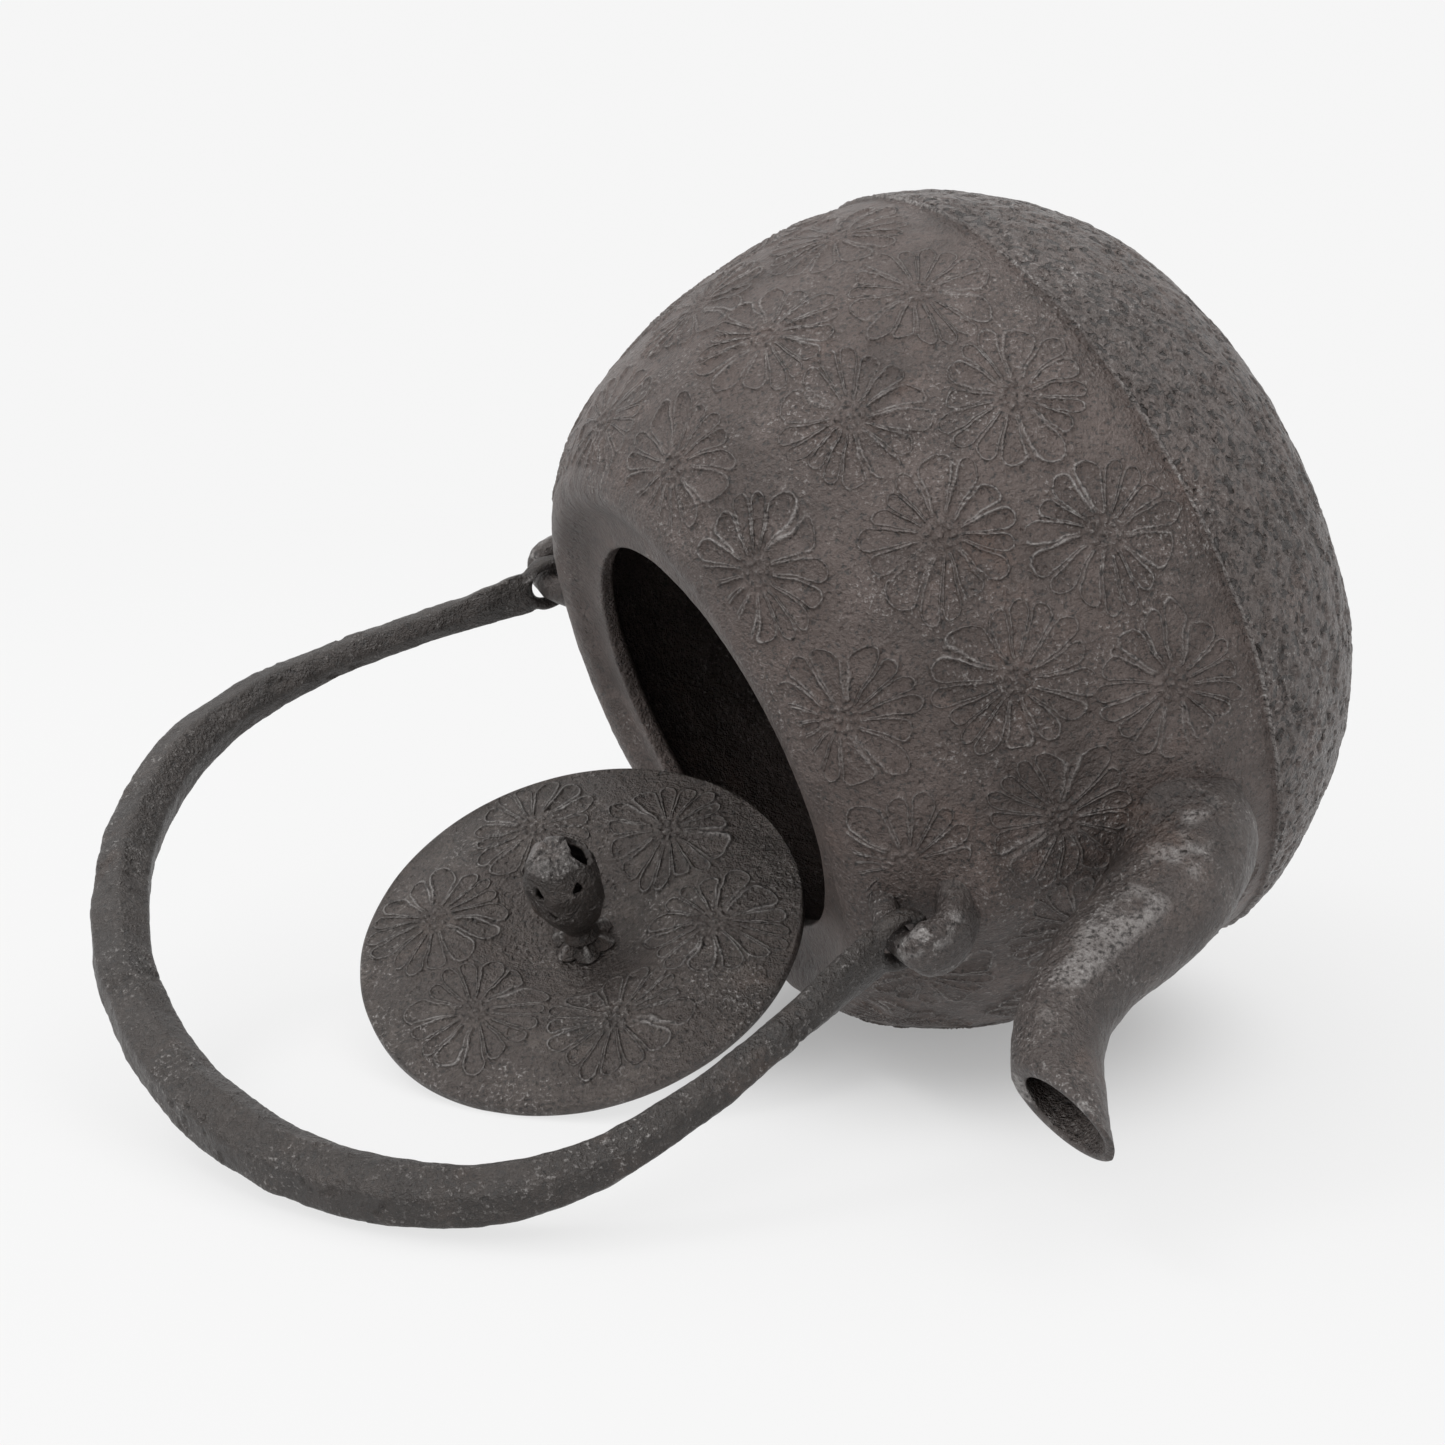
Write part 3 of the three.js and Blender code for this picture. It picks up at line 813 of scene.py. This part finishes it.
def spout_mesh():
    """The spout as a shell cut off at the plane of its mouth, and the number of points in its outer skin."""
    sides, samples, rows = 132, 500, 230
    path = resample(spline(SPOUT_PATH, 400), count=samples)
    side = -outward(path)
    t = np.linspace(0, 1, samples + 1)
    radius = spline([(i, r) for i, r in enumerate(SPOUT_RADII)], samples)[:, 1]

    def skin(shrink):
        columns = []
        for a in around(sides):
            half = radius - shrink
            x = path[:, 0] + half * math.cos(a) * side[:, 0]
            z = path[:, 1] + half * math.cos(a) * side[:, 1]
            y = half * math.sin(a) + 0 * x
            above = above_mouth(x, z)
            over = np.nonzero(above > 0)[0]
            end = over[0] if len(over) else samples
            f = above[end - 1] / (above[end - 1] - above[end]) if above[end] > 0 else 1.0
            at = np.linspace(0, end - 1 + f, rows)
            index = np.arange(samples + 1)
            columns.append(np.stack([np.interp(at, index, c) for c in (x, y, z)], 1))
        return np.stack(columns, 1)

    outer = skin(0.0)
    inner = skin(SPOUT_WALL - 1.1 * step(0.78, 1.0, t))
    # rounded lip: a few rings from the outer edge over to the inner one
    lip_out, lip_in = outer[-1], inner[-1]
    lift = np.array([math.sin(SPOUT_SLANT), 0, math.cos(SPOUT_SLANT)])
    turns = [math.pi * (i + 1) / 6 for i in range(5)]
    lip = [lip_out + (lip_in - lip_out) * (1 - math.cos(a)) / 2 + lift * 0.55 * math.sin(a) for a in turns]
    rings = list(outer) + lip + list(inner[::-1])
    mesh = make_mesh("spout", np.array(rings).reshape(-1, 3), closed_grid(len(rings), sides))
    return mesh, rows * sides


def from_line(points, line):
    """For points round a line: the unit direction away from it, and the place along it as an index."""
    best = np.full(len(points), 1e9)
    near = np.zeros(len(points), int)
    for i, centre in enumerate(line):
        d = ((points - centre) ** 2).sum(1)
        closer = d < best
        best[closer], near[closer] = d[closer], i
    away = points - line[near]
    return away / np.maximum(np.linalg.norm(away, axis=1), 1e-6)[:, None], near


def spout_casting():
    mesh, outer_count = spout_mesh()
    points = points_of(mesh)
    above = above_body(points)
    past_mouth = above_mouth(points[:, 0], points[:, 2])
    away, where = from_line(points, in_plane(resample(spline(SPOUT_PATH, 400), count=AXIS_STEPS)))
    where = where / AXIS_STEPS
    is_outer = np.arange(len(points)) < outer_count
    # the root spreads on to the body on the side of the mouth, and ends in a bulb on the side of the base
    mouthward = step(-0.35, 0.75, away[:, 2])
    spread = (6.0 * mouthward + 0.6) * np.exp(-np.maximum(above, 0) / 3.8) * (above > -4)
    bulb = 0.6 * bump_at(above, 6.5, 4.5) * (1 - mouthward)
    tilt = above - 11.0 + 4.5 * away[:, 2] - 3.0 * (away[:, 1] - 0.6)
    crease = -0.5 * bump_at(tilt, 0, 0.6) * step(0.2, 0.6, away[:, 1]) * step(0.45, 0.1, away[:, 2])
    crease = crease * step(-0.75, -0.35, away[:, 2])
    # a lighter grey streak runs along the near upper side, facing the camera and the light: partly wear,
    # partly a painted highlight
    wear_and_highlight_streak = step(0.72, 0.96, away @ np.array([0.26, 0.95, 0.16]))
    wear_and_highlight_streak = wear_and_highlight_streak * step(2, 6, above) * step(0.86, 0.7, where)
    lumps = 0.28 * rough(points, 13, 2, 211) + 0.11 * rough(points, 3.4, 2, 215)
    lumps += 0.06 * rough(points, 1.3, 2, 219)
    pitted = step(26, 12, above) * (0.5 * step(0.0, 0.5, noise(points, 11, 223)) + 0.6 * wear_and_highlight_streak)
    pores = -0.45 * step(0.1, 0.6, rough(points, 1.9, 2, 221)) * pitted
    shape = (spread + bulb + crease + lumps + pores) * is_outer + 0.12 * lumps * ~is_outer
    points = points + away * (shape * (where < 0.97))[:, None]
    set_points(mesh, points)
    patches = 0.35 + 0.65 * step(-0.4, 0.4, rough(points, 6, 2, 227))
    lip_worn = 0.8 * (past_mouth > -0.9) * step(-0.3, 0.4, noise(points, 3.0, 229))
    root_worn = 0.2 * bump_at(above, 4, 6.0)
    # lighter grey at the lip and the root from wear, and along the streak partly a painted highlight
    store(mesh, "relief", lip_worn + (0.75 * wear_and_highlight_streak + root_worn) * patches * is_outer)
    return mesh


place("spout_casting", spout_casting(), KETTLE, "kettle", "spout", SPOUT_IRON)

# ---- lugs ----

PIVOT_X = 71.2
PIVOT_Z = 120.0
LUG_BAR = 2.6
LUG_PATH = [
    (PIVOT_X - 12, PIVOT_Z - 6), (PIVOT_X - 4, PIVOT_Z - 0.6), (PIVOT_X + 1, PIVOT_Z),
    (PIVOT_X + 4.4, PIVOT_Z - 1.2), (PIVOT_X + 6.1, PIVOT_Z - 4.6), (PIVOT_X + 4.6, PIVOT_Z - 9),
    (PIVOT_X - 1, PIVOT_Z - 14),
]


def lug_mesh(name, side):
    def widths(t):
        swell = step(0.44, 0.58, t)
        return LUG_BAR + 3.3 * swell, LUG_BAR + 0.8 * swell

    path = in_plane(resample(spline(LUG_PATH, 200), count=90))
    mesh = cast(name, [tube(name, path, widths, 32, 2.3)], 0.42, 6)
    points = points_of(mesh)
    above = above_body(points)
    centre = np.stack([np.full(len(points), PIVOT_X + 2.0), 0 * above, points[:, 2]], 1)
    out = points - centre
    out[:, 2] = 0
    out[:, 0] *= 0.3
    out /= np.maximum(np.linalg.norm(out, axis=1), 1e-6)[:, None]
    foot = 2.6 * np.exp(-np.maximum(above, 0) / 2.2) * (above > -2.5)
    points = points + out * foot[:, None]
    if side < 0:
        points[:, 0] *= -1
        mesh.flip_normals()
    set_points(mesh, points)
    push(mesh, lambda p: 0.22 * rough(p, 5, 3, 301 + side) + 0.05 * rough(p, 1.2, 2, 311))
    points = points_of(mesh)
    out = np.abs(points[:, 0]) - PIVOT_X
    rubbed = bump_at(out, 3.5, 2.5) * step(PIVOT_Z - 4, PIVOT_Z, points[:, 2])
    shoulder = bump_at(out, 7.5, 2.5) * step(0, 3, points[:, 1])
    shoulder = shoulder * step(PIVOT_Z - 12, PIVOT_Z - 8, points[:, 2])
    store(mesh, "relief", (rubbed + 0.9 * shoulder) * step(-0.5, 0.2, noise(points, 2.4, 317)))
    return mesh


for lug_name, lug_side in (("front_lug", 1), ("rear_lug", -1)):
    lug = lug_mesh(lug_name, lug_side)
    place(lug_name + "_casting", lug, KETTLE, "kettle", lug_name, SPOUT_IRON)

# ---- handle ----

EYE_HOLE = 3.7
EYE_RIM = 2.7
EYE_THICKNESS = 4.0
BOW = [
    (PIVOT_X, PIVOT_Z + EYE_HOLE + 1.2), (73.2, 134), (77.6, 152), (80.8, 170), (81.2, 187),
    (76.4, 203), (65, 217.5), (47, 230), (25, 237.8), (0, 240.6),
]
BOW_FACETS = 6
BOW_TURN = math.radians(12)


def handle_mesh():
    line = BOW + [(-x, z) for x, z in BOW[:-1][::-1]]
    path = in_plane(resample(spline(line, 800), count=520))

    def widths(t):
        from_eye = np.minimum(t, 1 - t) * 2
        swell = step(0.16, 0.62, from_eye)
        flare = 1 - step(0, 0.13, from_eye)
        half = 3.5 + 2.4 * swell
        return half + 2.2 * flare, half - 1.4 * flare

    parts = [tube("bow", path, widths, 60, facets=(BOW_FACETS, BOW_TURN, 0.95))]
    turns, section = around(72), around(24)
    for side in (1, -1):
        ring = EYE_HOLE + EYE_RIM / 2 + 0.5 * EYE_RIM * np.cos(section)[None, :] + 0 * turns[:, None]
        x = side * PIVOT_X + 0.5 * EYE_THICKNESS * np.sin(section)[None, :] + 0 * turns[:, None]
        points = np.stack([x, ring * np.cos(turns)[:, None], PIVOT_Z + ring * np.sin(turns)[:, None]], -1)
        parts.append(make_mesh("eye", points.reshape(-1, 3), closed_grid(len(turns), len(section))))
    mesh = cast("handle", parts, 0.5, 6)

    def grain(p):
        dents = step(0.35, 0.8, rough(p, 2.6, 2, 413)) * step(0.1, 0.6, noise(p, 16, 417))
        lumps = 0.32 * rough(p, 12, 2, 401) + 0.12 * rough(p, 3.6, 2, 405)
        return lumps + 0.05 * rough(p, 1.3, 2, 409) - 0.35 * dents

    push(mesh, grain)
    points = points_of(mesh)
    line = path[::2]
    away, near = from_line(points, line)
    normal = np.cross(Y_AXIS, directions(line))[near]
    corner = facet(np.arctan2((away * normal).sum(1), away[:, 1]), BOW_FACETS, BOW_TURN)[1]
    ends = step(0.75, 0.95, np.abs(2 * near / len(line) - 1))
    patches = step(-0.25, 0.35, rough(points, 9, 2, 421))
    # the facet corners are lighter grey in patches all along, and near the eyes on the +Y side only
    store(mesh, "relief", corner * (0.42 * patches + 0.45 * ends * (away[:, 1] > 0)))
    return mesh


place("bail", handle_mesh(), KETTLE, "handle", "bail_handle", HANDLE_IRON)

# ---- lid, in its own frame: middle of the underside at the origin, knob upwards ----

# keeps the lid's noise apart from the kettle's
LID_NOISE = 300
LID_RADIUS = 45.8
LID_EDGE = 2.8
LID_CROWN = 4.4
LID_WALL = 3.2
DISH_DEPTH = 6.4
DISH_RADIUS = 28.0
DISH_FLAT = 5.0
DISH_TOP = LID_CROWN - DISH_DEPTH
DISH_UNDER = DISH_TOP - LID_WALL
FLANGE_RADIUS = 37.5
FLANGE_DEPTH = 3.2
TANG_RADIUS = 2.2
KNOB_RADIUS = 8.4
KNOB_HEIGHT = 21.0
KNOB_MIDDLE = 15.2
WASHER_THICKNESS = 1.4
WASHER_RADIUS = 5.2
PIECE_GAP = 0.3
# distance from the middle, and angle, of each flower
LID_BLOOMS = ((30.9, 170), (28.9, 110), (28.6, 49), (27.8, -12), (28.4, -74), (30.6, -131))


def lid_top(r):
    """Height of the upper side: a broad brow round a dish with a flat middle."""
    dish = 1 - step(DISH_FLAT, DISH_RADIUS, r)
    brow = step(DISH_RADIUS + 4, LID_RADIUS, r)
    return LID_CROWN - DISH_DEPTH * dish - (LID_CROWN - LID_EDGE) * brow


def lid_mesh():
    coarse = 180
    columns = coarse * STEPS_IN_ONE
    radii = np.arange(LID_RADIUS - 0.9, TANG_RADIUS + 0.4, -0.42)
    top = np.stack([radii, lid_top(radii)], 1)
    edge = np.array([(LID_RADIUS - 0.7, 0.02), (LID_RADIUS - 0.2, 0.3), (LID_RADIUS, 0.8), (LID_RADIUS, 1.4),
                     (LID_RADIUS, 2.0), (LID_RADIUS - 0.15, 2.5), (LID_RADIUS - 0.5, 2.78)])
    profile = np.concatenate([edge, top])
    ring = revolve(profile, around(columns))
    place_of = ring + LID_NOISE
    centres = [(r * math.cos(math.radians(a)), r * math.sin(math.radians(a)), None) for r, a in LID_BLOOMS]
    u, v = nearest_bloom(ring[:, 0], ring[:, 1], place_of, centres, 7)
    vary = 0.6 + 0.6 * step(-0.5, 0.4, noise(place_of, 8, 503))
    flower, crest = bloom_height(u, v, vary)
    r = np.hypot(ring[:, 0], ring[:, 1])
    keep = step(LID_RADIUS - 1.0, LID_RADIUS - 2.2, r) * step(9.5, 13.0, r)
    flower, crest = flower * keep, crest * keep
    pits = step(0.3, 0.85, rough(place_of, 2.4, 2, 505)) * step(0.0, 0.5, noise(place_of, 14, 507))
    height = flower + 0.20 * rough(place_of, 13, 2, 511) + 0.08 * rough(place_of, 3.2, 2, 515)
    height += 0.045 * rough(place_of, 1.2, 2, 519) - 0.3 * pits * keep - 0.12
    on_top = np.repeat(np.arange(len(profile)) >= len(edge), columns)
    ring[:, 2] += height * on_top
    # the outline isn't quite round
    circle = np.tile(around(columns), len(profile))
    circle = np.stack([np.cos(circle) * 30 + 90, np.sin(circle) * 30 + 90, 0 * r], 1)
    ring[:, :2] *= (0.998 + 0.0035 * rough(circle, 14, 2, 521))[:, None]
    bowl = np.arange(TANG_RADIUS + 0.4, FLANGE_RADIUS - 3.0, 1.2)
    flange = [(-2.7, 0.6), (-2.4, -1), (-2.2, 0.5 - FLANGE_DEPTH), (-1.7, -FLANGE_DEPTH),
              (-0.5, -FLANGE_DEPTH), (0, 0.5 - FLANGE_DEPTH), (0.1, -1), (0.4, -0.1), (1, 0.0)]
    under = [(q, lid_top(q) - LID_WALL + 0.15) for q in bowl] + [(FLANGE_RADIUS + x, z) for x, z in flange]
    under = np.array(under + [(LID_RADIUS - 4, 0.0), (LID_RADIUS - 1.4, 0.0)])
    below = revolve(under, around(coarse))
    below[:, 2] -= 0.15 * (rough(below + LID_NOISE, 7, 3, 531) + 0.3)
    start = len(below)
    quads = [grid_faces(len(under), coarse, 0), grid_faces(len(profile), columns, start)]
    last_under = (len(under) - 1) * coarse
    last_top = start + (len(profile) - 1) * columns
    joins = joining_faces(coarse, columns, last_under, start, last_top, 0)
    mesh = make_mesh("lid", np.concatenate([below, ring]), np.concatenate(quads), joins)
    pad = np.full(start, NO_FLOWER)
    store(mesh, "relief", np.concatenate([0 * pad, crest]))
    store_bloom(mesh, np.concatenate([pad, u]), np.concatenate([pad, v]))
    return mesh


place("lid_disc", lid_mesh(), LID, "lid", "lid_plate", LID_IRON)

# seat: a ring of pointed petals that rise to the stem
SEAT_BASE = DISH_TOP + 0.4
SEAT_PETALS = 6
SEAT_TURN = math.radians(-17)


def seat_mesh():
    columns = 288
    angle = around(columns)
    petal = np.abs(np.cos(SEAT_PETALS / 2 * (angle - SEAT_TURN)))
    reach = 4.9 + 1.9 * petal**0.8
    hole = TANG_RADIUS + 0.35
    rings = []
    for s in np.concatenate([[0.0], np.linspace(0, 1, 30)]):
        radius = hole + (reach - hole) * s
        ridge = 0.75 * petal**6 * step(0.0, 0.35, s) * (1 - s**3)
        crown = 1.35 * (1 - s**1.5) + ridge - 0.3 * (1 - petal) * s
        rings.append(np.stack([radius * np.cos(angle), radius * np.sin(angle), SEAT_BASE + 0.5 + crown], 1))
    rings[0][:, 2] = SEAT_BASE + 0.1
    edge = reach - 0.1
    rim = np.stack([edge * np.cos(angle), edge * np.sin(angle), 0 * angle + SEAT_BASE + 0.05], 1)
    points = np.array(rings + [rim]).reshape(-1, 3)
    mesh = make_mesh("seat", points, closed_grid(len(rings) + 1, columns)[:, ::-1])
    push(mesh, lambda p: 0.10 * rough(p + LID_NOISE, 1.8, 3, 601))
    worn = petal[None, :] ** 8 * step(0.15, 0.4, np.linspace(0, 1, len(rings) + 1))[:, None]
    store(mesh, "relief", 0.8 * worn.reshape(-1))
    return mesh


place("knob_petals", seat_mesh(), LID, "lid", "knob_seat", KNOB_IRON)


def lathe(name, line, columns=48):
    """A closed turned solid from (radius, height) points that start and end on the axis."""
    line = np.array(line, float)
    ring = revolve(line[1:-1], around(columns))
    points = np.concatenate([ring, [[0, 0, line[0, 1]], [0, 0, line[-1, 1]]]])
    bottom, top = len(ring), len(ring) + 1
    last = (len(line) - 3) * columns
    fans = [[bottom, (j + 1) % columns, j] for j in range(columns)]
    fans += [[top, last + j, last + (j + 1) % columns] for j in range(columns)]
    return make_mesh(name, points, grid_faces(len(line) - 2, columns), fans)


BUD_LEVELS = (-1, -0.85, -0.3, 0.3, 0.75, 1)
BUD_RADII = (0.44, 0.68, 1.0, 1.03, 0.80, 0.42)
LOBES = 5
LOBE_TURN = math.radians(-68)


def bud(name, radius, height, lobing, middle):
    """A faceted bud: broad lobes that meet in soft ridges, folded at the top, drawn in to the stem."""
    turns = np.linspace(-np.pi / 2, np.pi / 2, 60)
    mesh = lathe(name, [(math.cos(a), math.sin(a)) for a in turns], 180)
    p = points_of(mesh)
    r, z = np.hypot(p[:, 0], p[:, 1]), p[:, 2]
    flat, seam = facet(np.arctan2(p[:, 1], p[:, 0]), LOBES, LOBE_TURN)
    lobe = 1 + lobing * (flat - 1) - 0.10 * lobing * seam
    cap = math.radians(78)
    level = np.clip(z / math.sin(cap), -1, 1)
    belly = np.interp(level, BUD_LEVELS, BUD_RADII) * np.minimum(1, r / math.cos(cap))
    p[:, :2] *= (radius * np.minimum(lobe, 1.04) * belly / np.maximum(r, 1e-6))[:, None]
    tuck = -0.10 * seam * step(0.5, 0.95, z) - 0.10 * step(0.2, 0.0, r) * (z > 0)
    p[:, 2] = (level + tuck) * height / 2 + middle
    set_points(mesh, p)
    return mesh


def drop_cutter(turn, low, size, lean):
    """A heart-like teardrop, drawn out from the middle of the bud through its wall."""
    half = [(0, 2.2), (0.9, 0.6), (1.5, -0.8), (0.8, -1.7), (0, -1.3)]
    outline = spline(half + [(-x, y) for x, y in half[-2::-1]], 40)[:-1]
    c, s = math.cos(lean), math.sin(lean)
    points = []
    for depth in (2.5, KNOB_RADIUS + 3):
        for a, b in outline * size:
            side, up = c * a - s * b, s * a + c * b
            points.append((depth * math.cos(turn) - side * math.sin(turn),
                           depth * math.sin(turn) + side * math.cos(turn), KNOB_MIDDLE + up + low))
    n = len(outline)
    sides = [[i, (i + 1) % n, n + (i + 1) % n, n + i] for i in range(n)]
    return make_mesh("drop", points, np.array(sides), [list(range(n))[::-1], list(range(n, 2 * n))])


def crown_cutter():
    """The gap left open where two folded lobes meet at the top."""
    turns = np.linspace(-np.pi / 2, np.pi / 2, 20)
    mesh = lathe("crown_gap", [(math.cos(a), math.sin(a)) for a in turns], 32)
    turn = Matrix.Rotation(math.radians(82), 4, "Z") @ Matrix.Translation((5.2, 0, KNOB_MIDDLE + 8.0))
    mesh.transform(turn @ Matrix.Rotation(math.radians(28), 4, "Y") @ Matrix.Diagonal((3.0, 4.6, 3.3, 1)))
    return mesh


def knob_mesh():
    """The hollow pierced bud, its stem, and the tang that goes through the lid to a riveted end."""
    root = KNOB_MIDDLE - KNOB_HEIGHT / 2
    shoulder = SEAT_BASE + 2.2
    low = DISH_UNDER - PIECE_GAP - WASHER_THICKNESS - PIECE_GAP
    stem = [(0, low - 1.5), (1.6, low - 1.5), (2.9, low - 1.0), (3.5, low), (TANG_RADIUS, low),
            (TANG_RADIUS, shoulder), (4.0, shoulder), (3.2, shoulder + 1.4), (2.8, root - 2), (3.4, root),
            (4.6, root + 2.6), (0, root + 3.4)]
    cuts = [bud("hollow", KNOB_RADIUS - 1.8, KNOB_HEIGHT - 4.4, 0.5, KNOB_MIDDLE + 0.8)]
    sector = 2 * math.pi / LOBES
    for i in range(LOBES):
        cuts.append(drop_cutter(LOBE_TURN + sector * i, 3.6 + 0.4 * (i % 2), 0.72, 0.3 * (-1) ** i))
    cuts.append(drop_cutter(LOBE_TURN + 0.32, -1.4, 0.72, 0.8))
    cuts.append(crown_cutter())
    shell = cast("knob", [bud("bud", KNOB_RADIUS, KNOB_HEIGHT, 0.85, KNOB_MIDDLE)], 0.18, 1, cuts)
    rod = cast("rod", [lathe("stem", stem)], 0.25, 3)
    return cast("knob", [shell, rod], 0.2, 1)


def knob_grain(p):
    q = p + LID_NOISE
    return 0.22 * rough(q, 5, 2, 701) * step(2, 6, p[:, 2]) + 0.07 * rough(q, 1.6, 2, 705)


knob = knob_mesh()
push(knob, knob_grain)
store(knob, "relief", step(20, 24.5, points_of(knob)[:, 2]) * 0.6)
place("knob_bud", knob, LID, "lid", "knob", KNOB_IRON)


def washer_mesh():
    high = DISH_UNDER - PIECE_GAP
    low = high - WASHER_THICKNESS
    inner, outer = TANG_RADIUS + 0.3, WASHER_RADIUS
    columns = 96
    line = [(inner, low + 0.3), (inner + 0.3, low), (4.2, low), (outer - 0.3, low + 0.1), (outer, low + 0.4),
            (outer, high - 0.2), (outer - 0.2, high), (inner + 0.2, high), (inner, high - 0.2)]
    mesh = make_mesh("washer", revolve(np.array(line), around(columns)), closed_grid(len(line), columns))
    push(mesh, lambda p: 0.04 * rough(p + LID_NOISE, 1.5, 2, 801))
    store(mesh, "relief", np.zeros(len(mesh.vertices)))
    return mesh


place("washer_under_lid", washer_mesh(), LID, "lid", "tang_washer", KNOB_IRON)

# ---- floor, light and camera ----

PAPER_WHITE = 0.92
# how much of the floor's white comes from the light on it rather than its own glow: near the kettle,
# and at the place that it rests on, where its shadow is deepest
FLOOR_TONE = 0.13
CONTACT_TONE = 0.26
CONTACT = (0.048, 0.012, 0.0)
# brightness of a white floor under these lights
DAYLIGHT = 1.508
FLOOR_LINE = [
    (0.02, 0.0), (0.5, 0.0), (1.2, 0.0), (1.9, 0.03), (2.5, 0.18),
    (3.0, 0.5), (3.4, 1.0), (3.6, 1.8), (3.7, 3.0),
]
FLOOR_SIDES = 96


def backdrop():
    """A pale floor that curves up far away on every side and glows there, so that it stays even."""
    line = spline(FLOOR_LINE, 60)
    quads = grid_faces(len(line), FLOOR_SIDES)[:, ::-1]
    mesh = make_mesh("floor", revolve(line, around(FLOOR_SIDES)), quads, [list(range(FLOOR_SIDES))])
    mesh.polygons.foreach_set("use_smooth", np.ones(len(mesh.polygons), bool))
    obj = add_object("floor", mesh)
    material, tree, shader = plain_material("paper")
    coords = tree.nodes.new("ShaderNodeTexCoord").outputs["Object"]

    def distance_from(point):
        node = tree.nodes.new("ShaderNodeVectorMath")
        node.operation = "DISTANCE"
        tree.links.new(coords, node.inputs[0])
        node.inputs[1].default_value = point
        return Value(tree, node.outputs["Value"])

    far = distance_from((0.0, 0.0, 0.0)).between(0.35, 0.8)
    near = distance_from(CONTACT).between(0.078, 0.026)
    tone = far * -FLOOR_TONE + FLOOR_TONE + near * CONTACT_TONE
    grey = tree.nodes.new("ShaderNodeCombineColor")
    for channel in range(3):
        tree.links.new(tone.socket, grey.inputs[channel])
    tree.links.new(grey.outputs[0], shader.inputs["Base Color"])
    set_inputs(shader, Roughness=0.95, Specular_IOR_Level=0.0, Emission_Color=WHITE)
    glow = tone * -DAYLIGHT + PAPER_WHITE
    tree.links.new(glow.socket, shader.inputs["Emission Strength"])
    mesh.materials.append(material)


def area_light(name, location, side, power):
    data = bpy.data.lights.new(name, "AREA")
    data.shape = "RECTANGLE"
    data.size, data.size_y = side, side
    data.energy = power
    obj = add_object(name, data)
    obj.location = location
    obj.rotation_euler = (LIT_POINT - Vector(location)).to_track_quat("-Z", "Y").to_euler()


WHITE = (1.0, 1.0, 1.0, 1)
WORLD_STRENGTH = 0.6
LIT_POINT = Vector((0, 0, 0.06))
CAMERA_DIP = math.radians(13.23)

backdrop()
world = bpy.data.worlds.new("studio")
world.use_nodes = True
set_inputs(world.node_tree.nodes["Background"], Color=WHITE, Strength=WORLD_STRENGTH)
bpy.context.scene.world = world
area_light("key", (-0.9, 0.1, 1.4), 0.5, 5)
area_light("fill", (-0.5, -1.1, 0.8), 0.8, 5)
softbox = bpy.data.lights.new("softbox", "SUN")
softbox.energy = 2.0
softbox.angle = math.radians(85)
add_object("softbox", softbox).rotation_euler = (math.radians(4), math.radians(-4), 0)

camera_data = bpy.data.cameras.new("camera")
camera_data.lens = 59.8
camera_data.sensor_width = 36
camera_data.clip_start = 0.02
camera = add_object("camera", camera_data)
camera.location = (0.00096, -0.465105, 0.17628)
camera.rotation_euler = (math.pi / 2 - CAMERA_DIP, 0, 0)
bpy.context.scene.camera = camera
bpy.context.scene.view_settings.view_transform = "Standard"
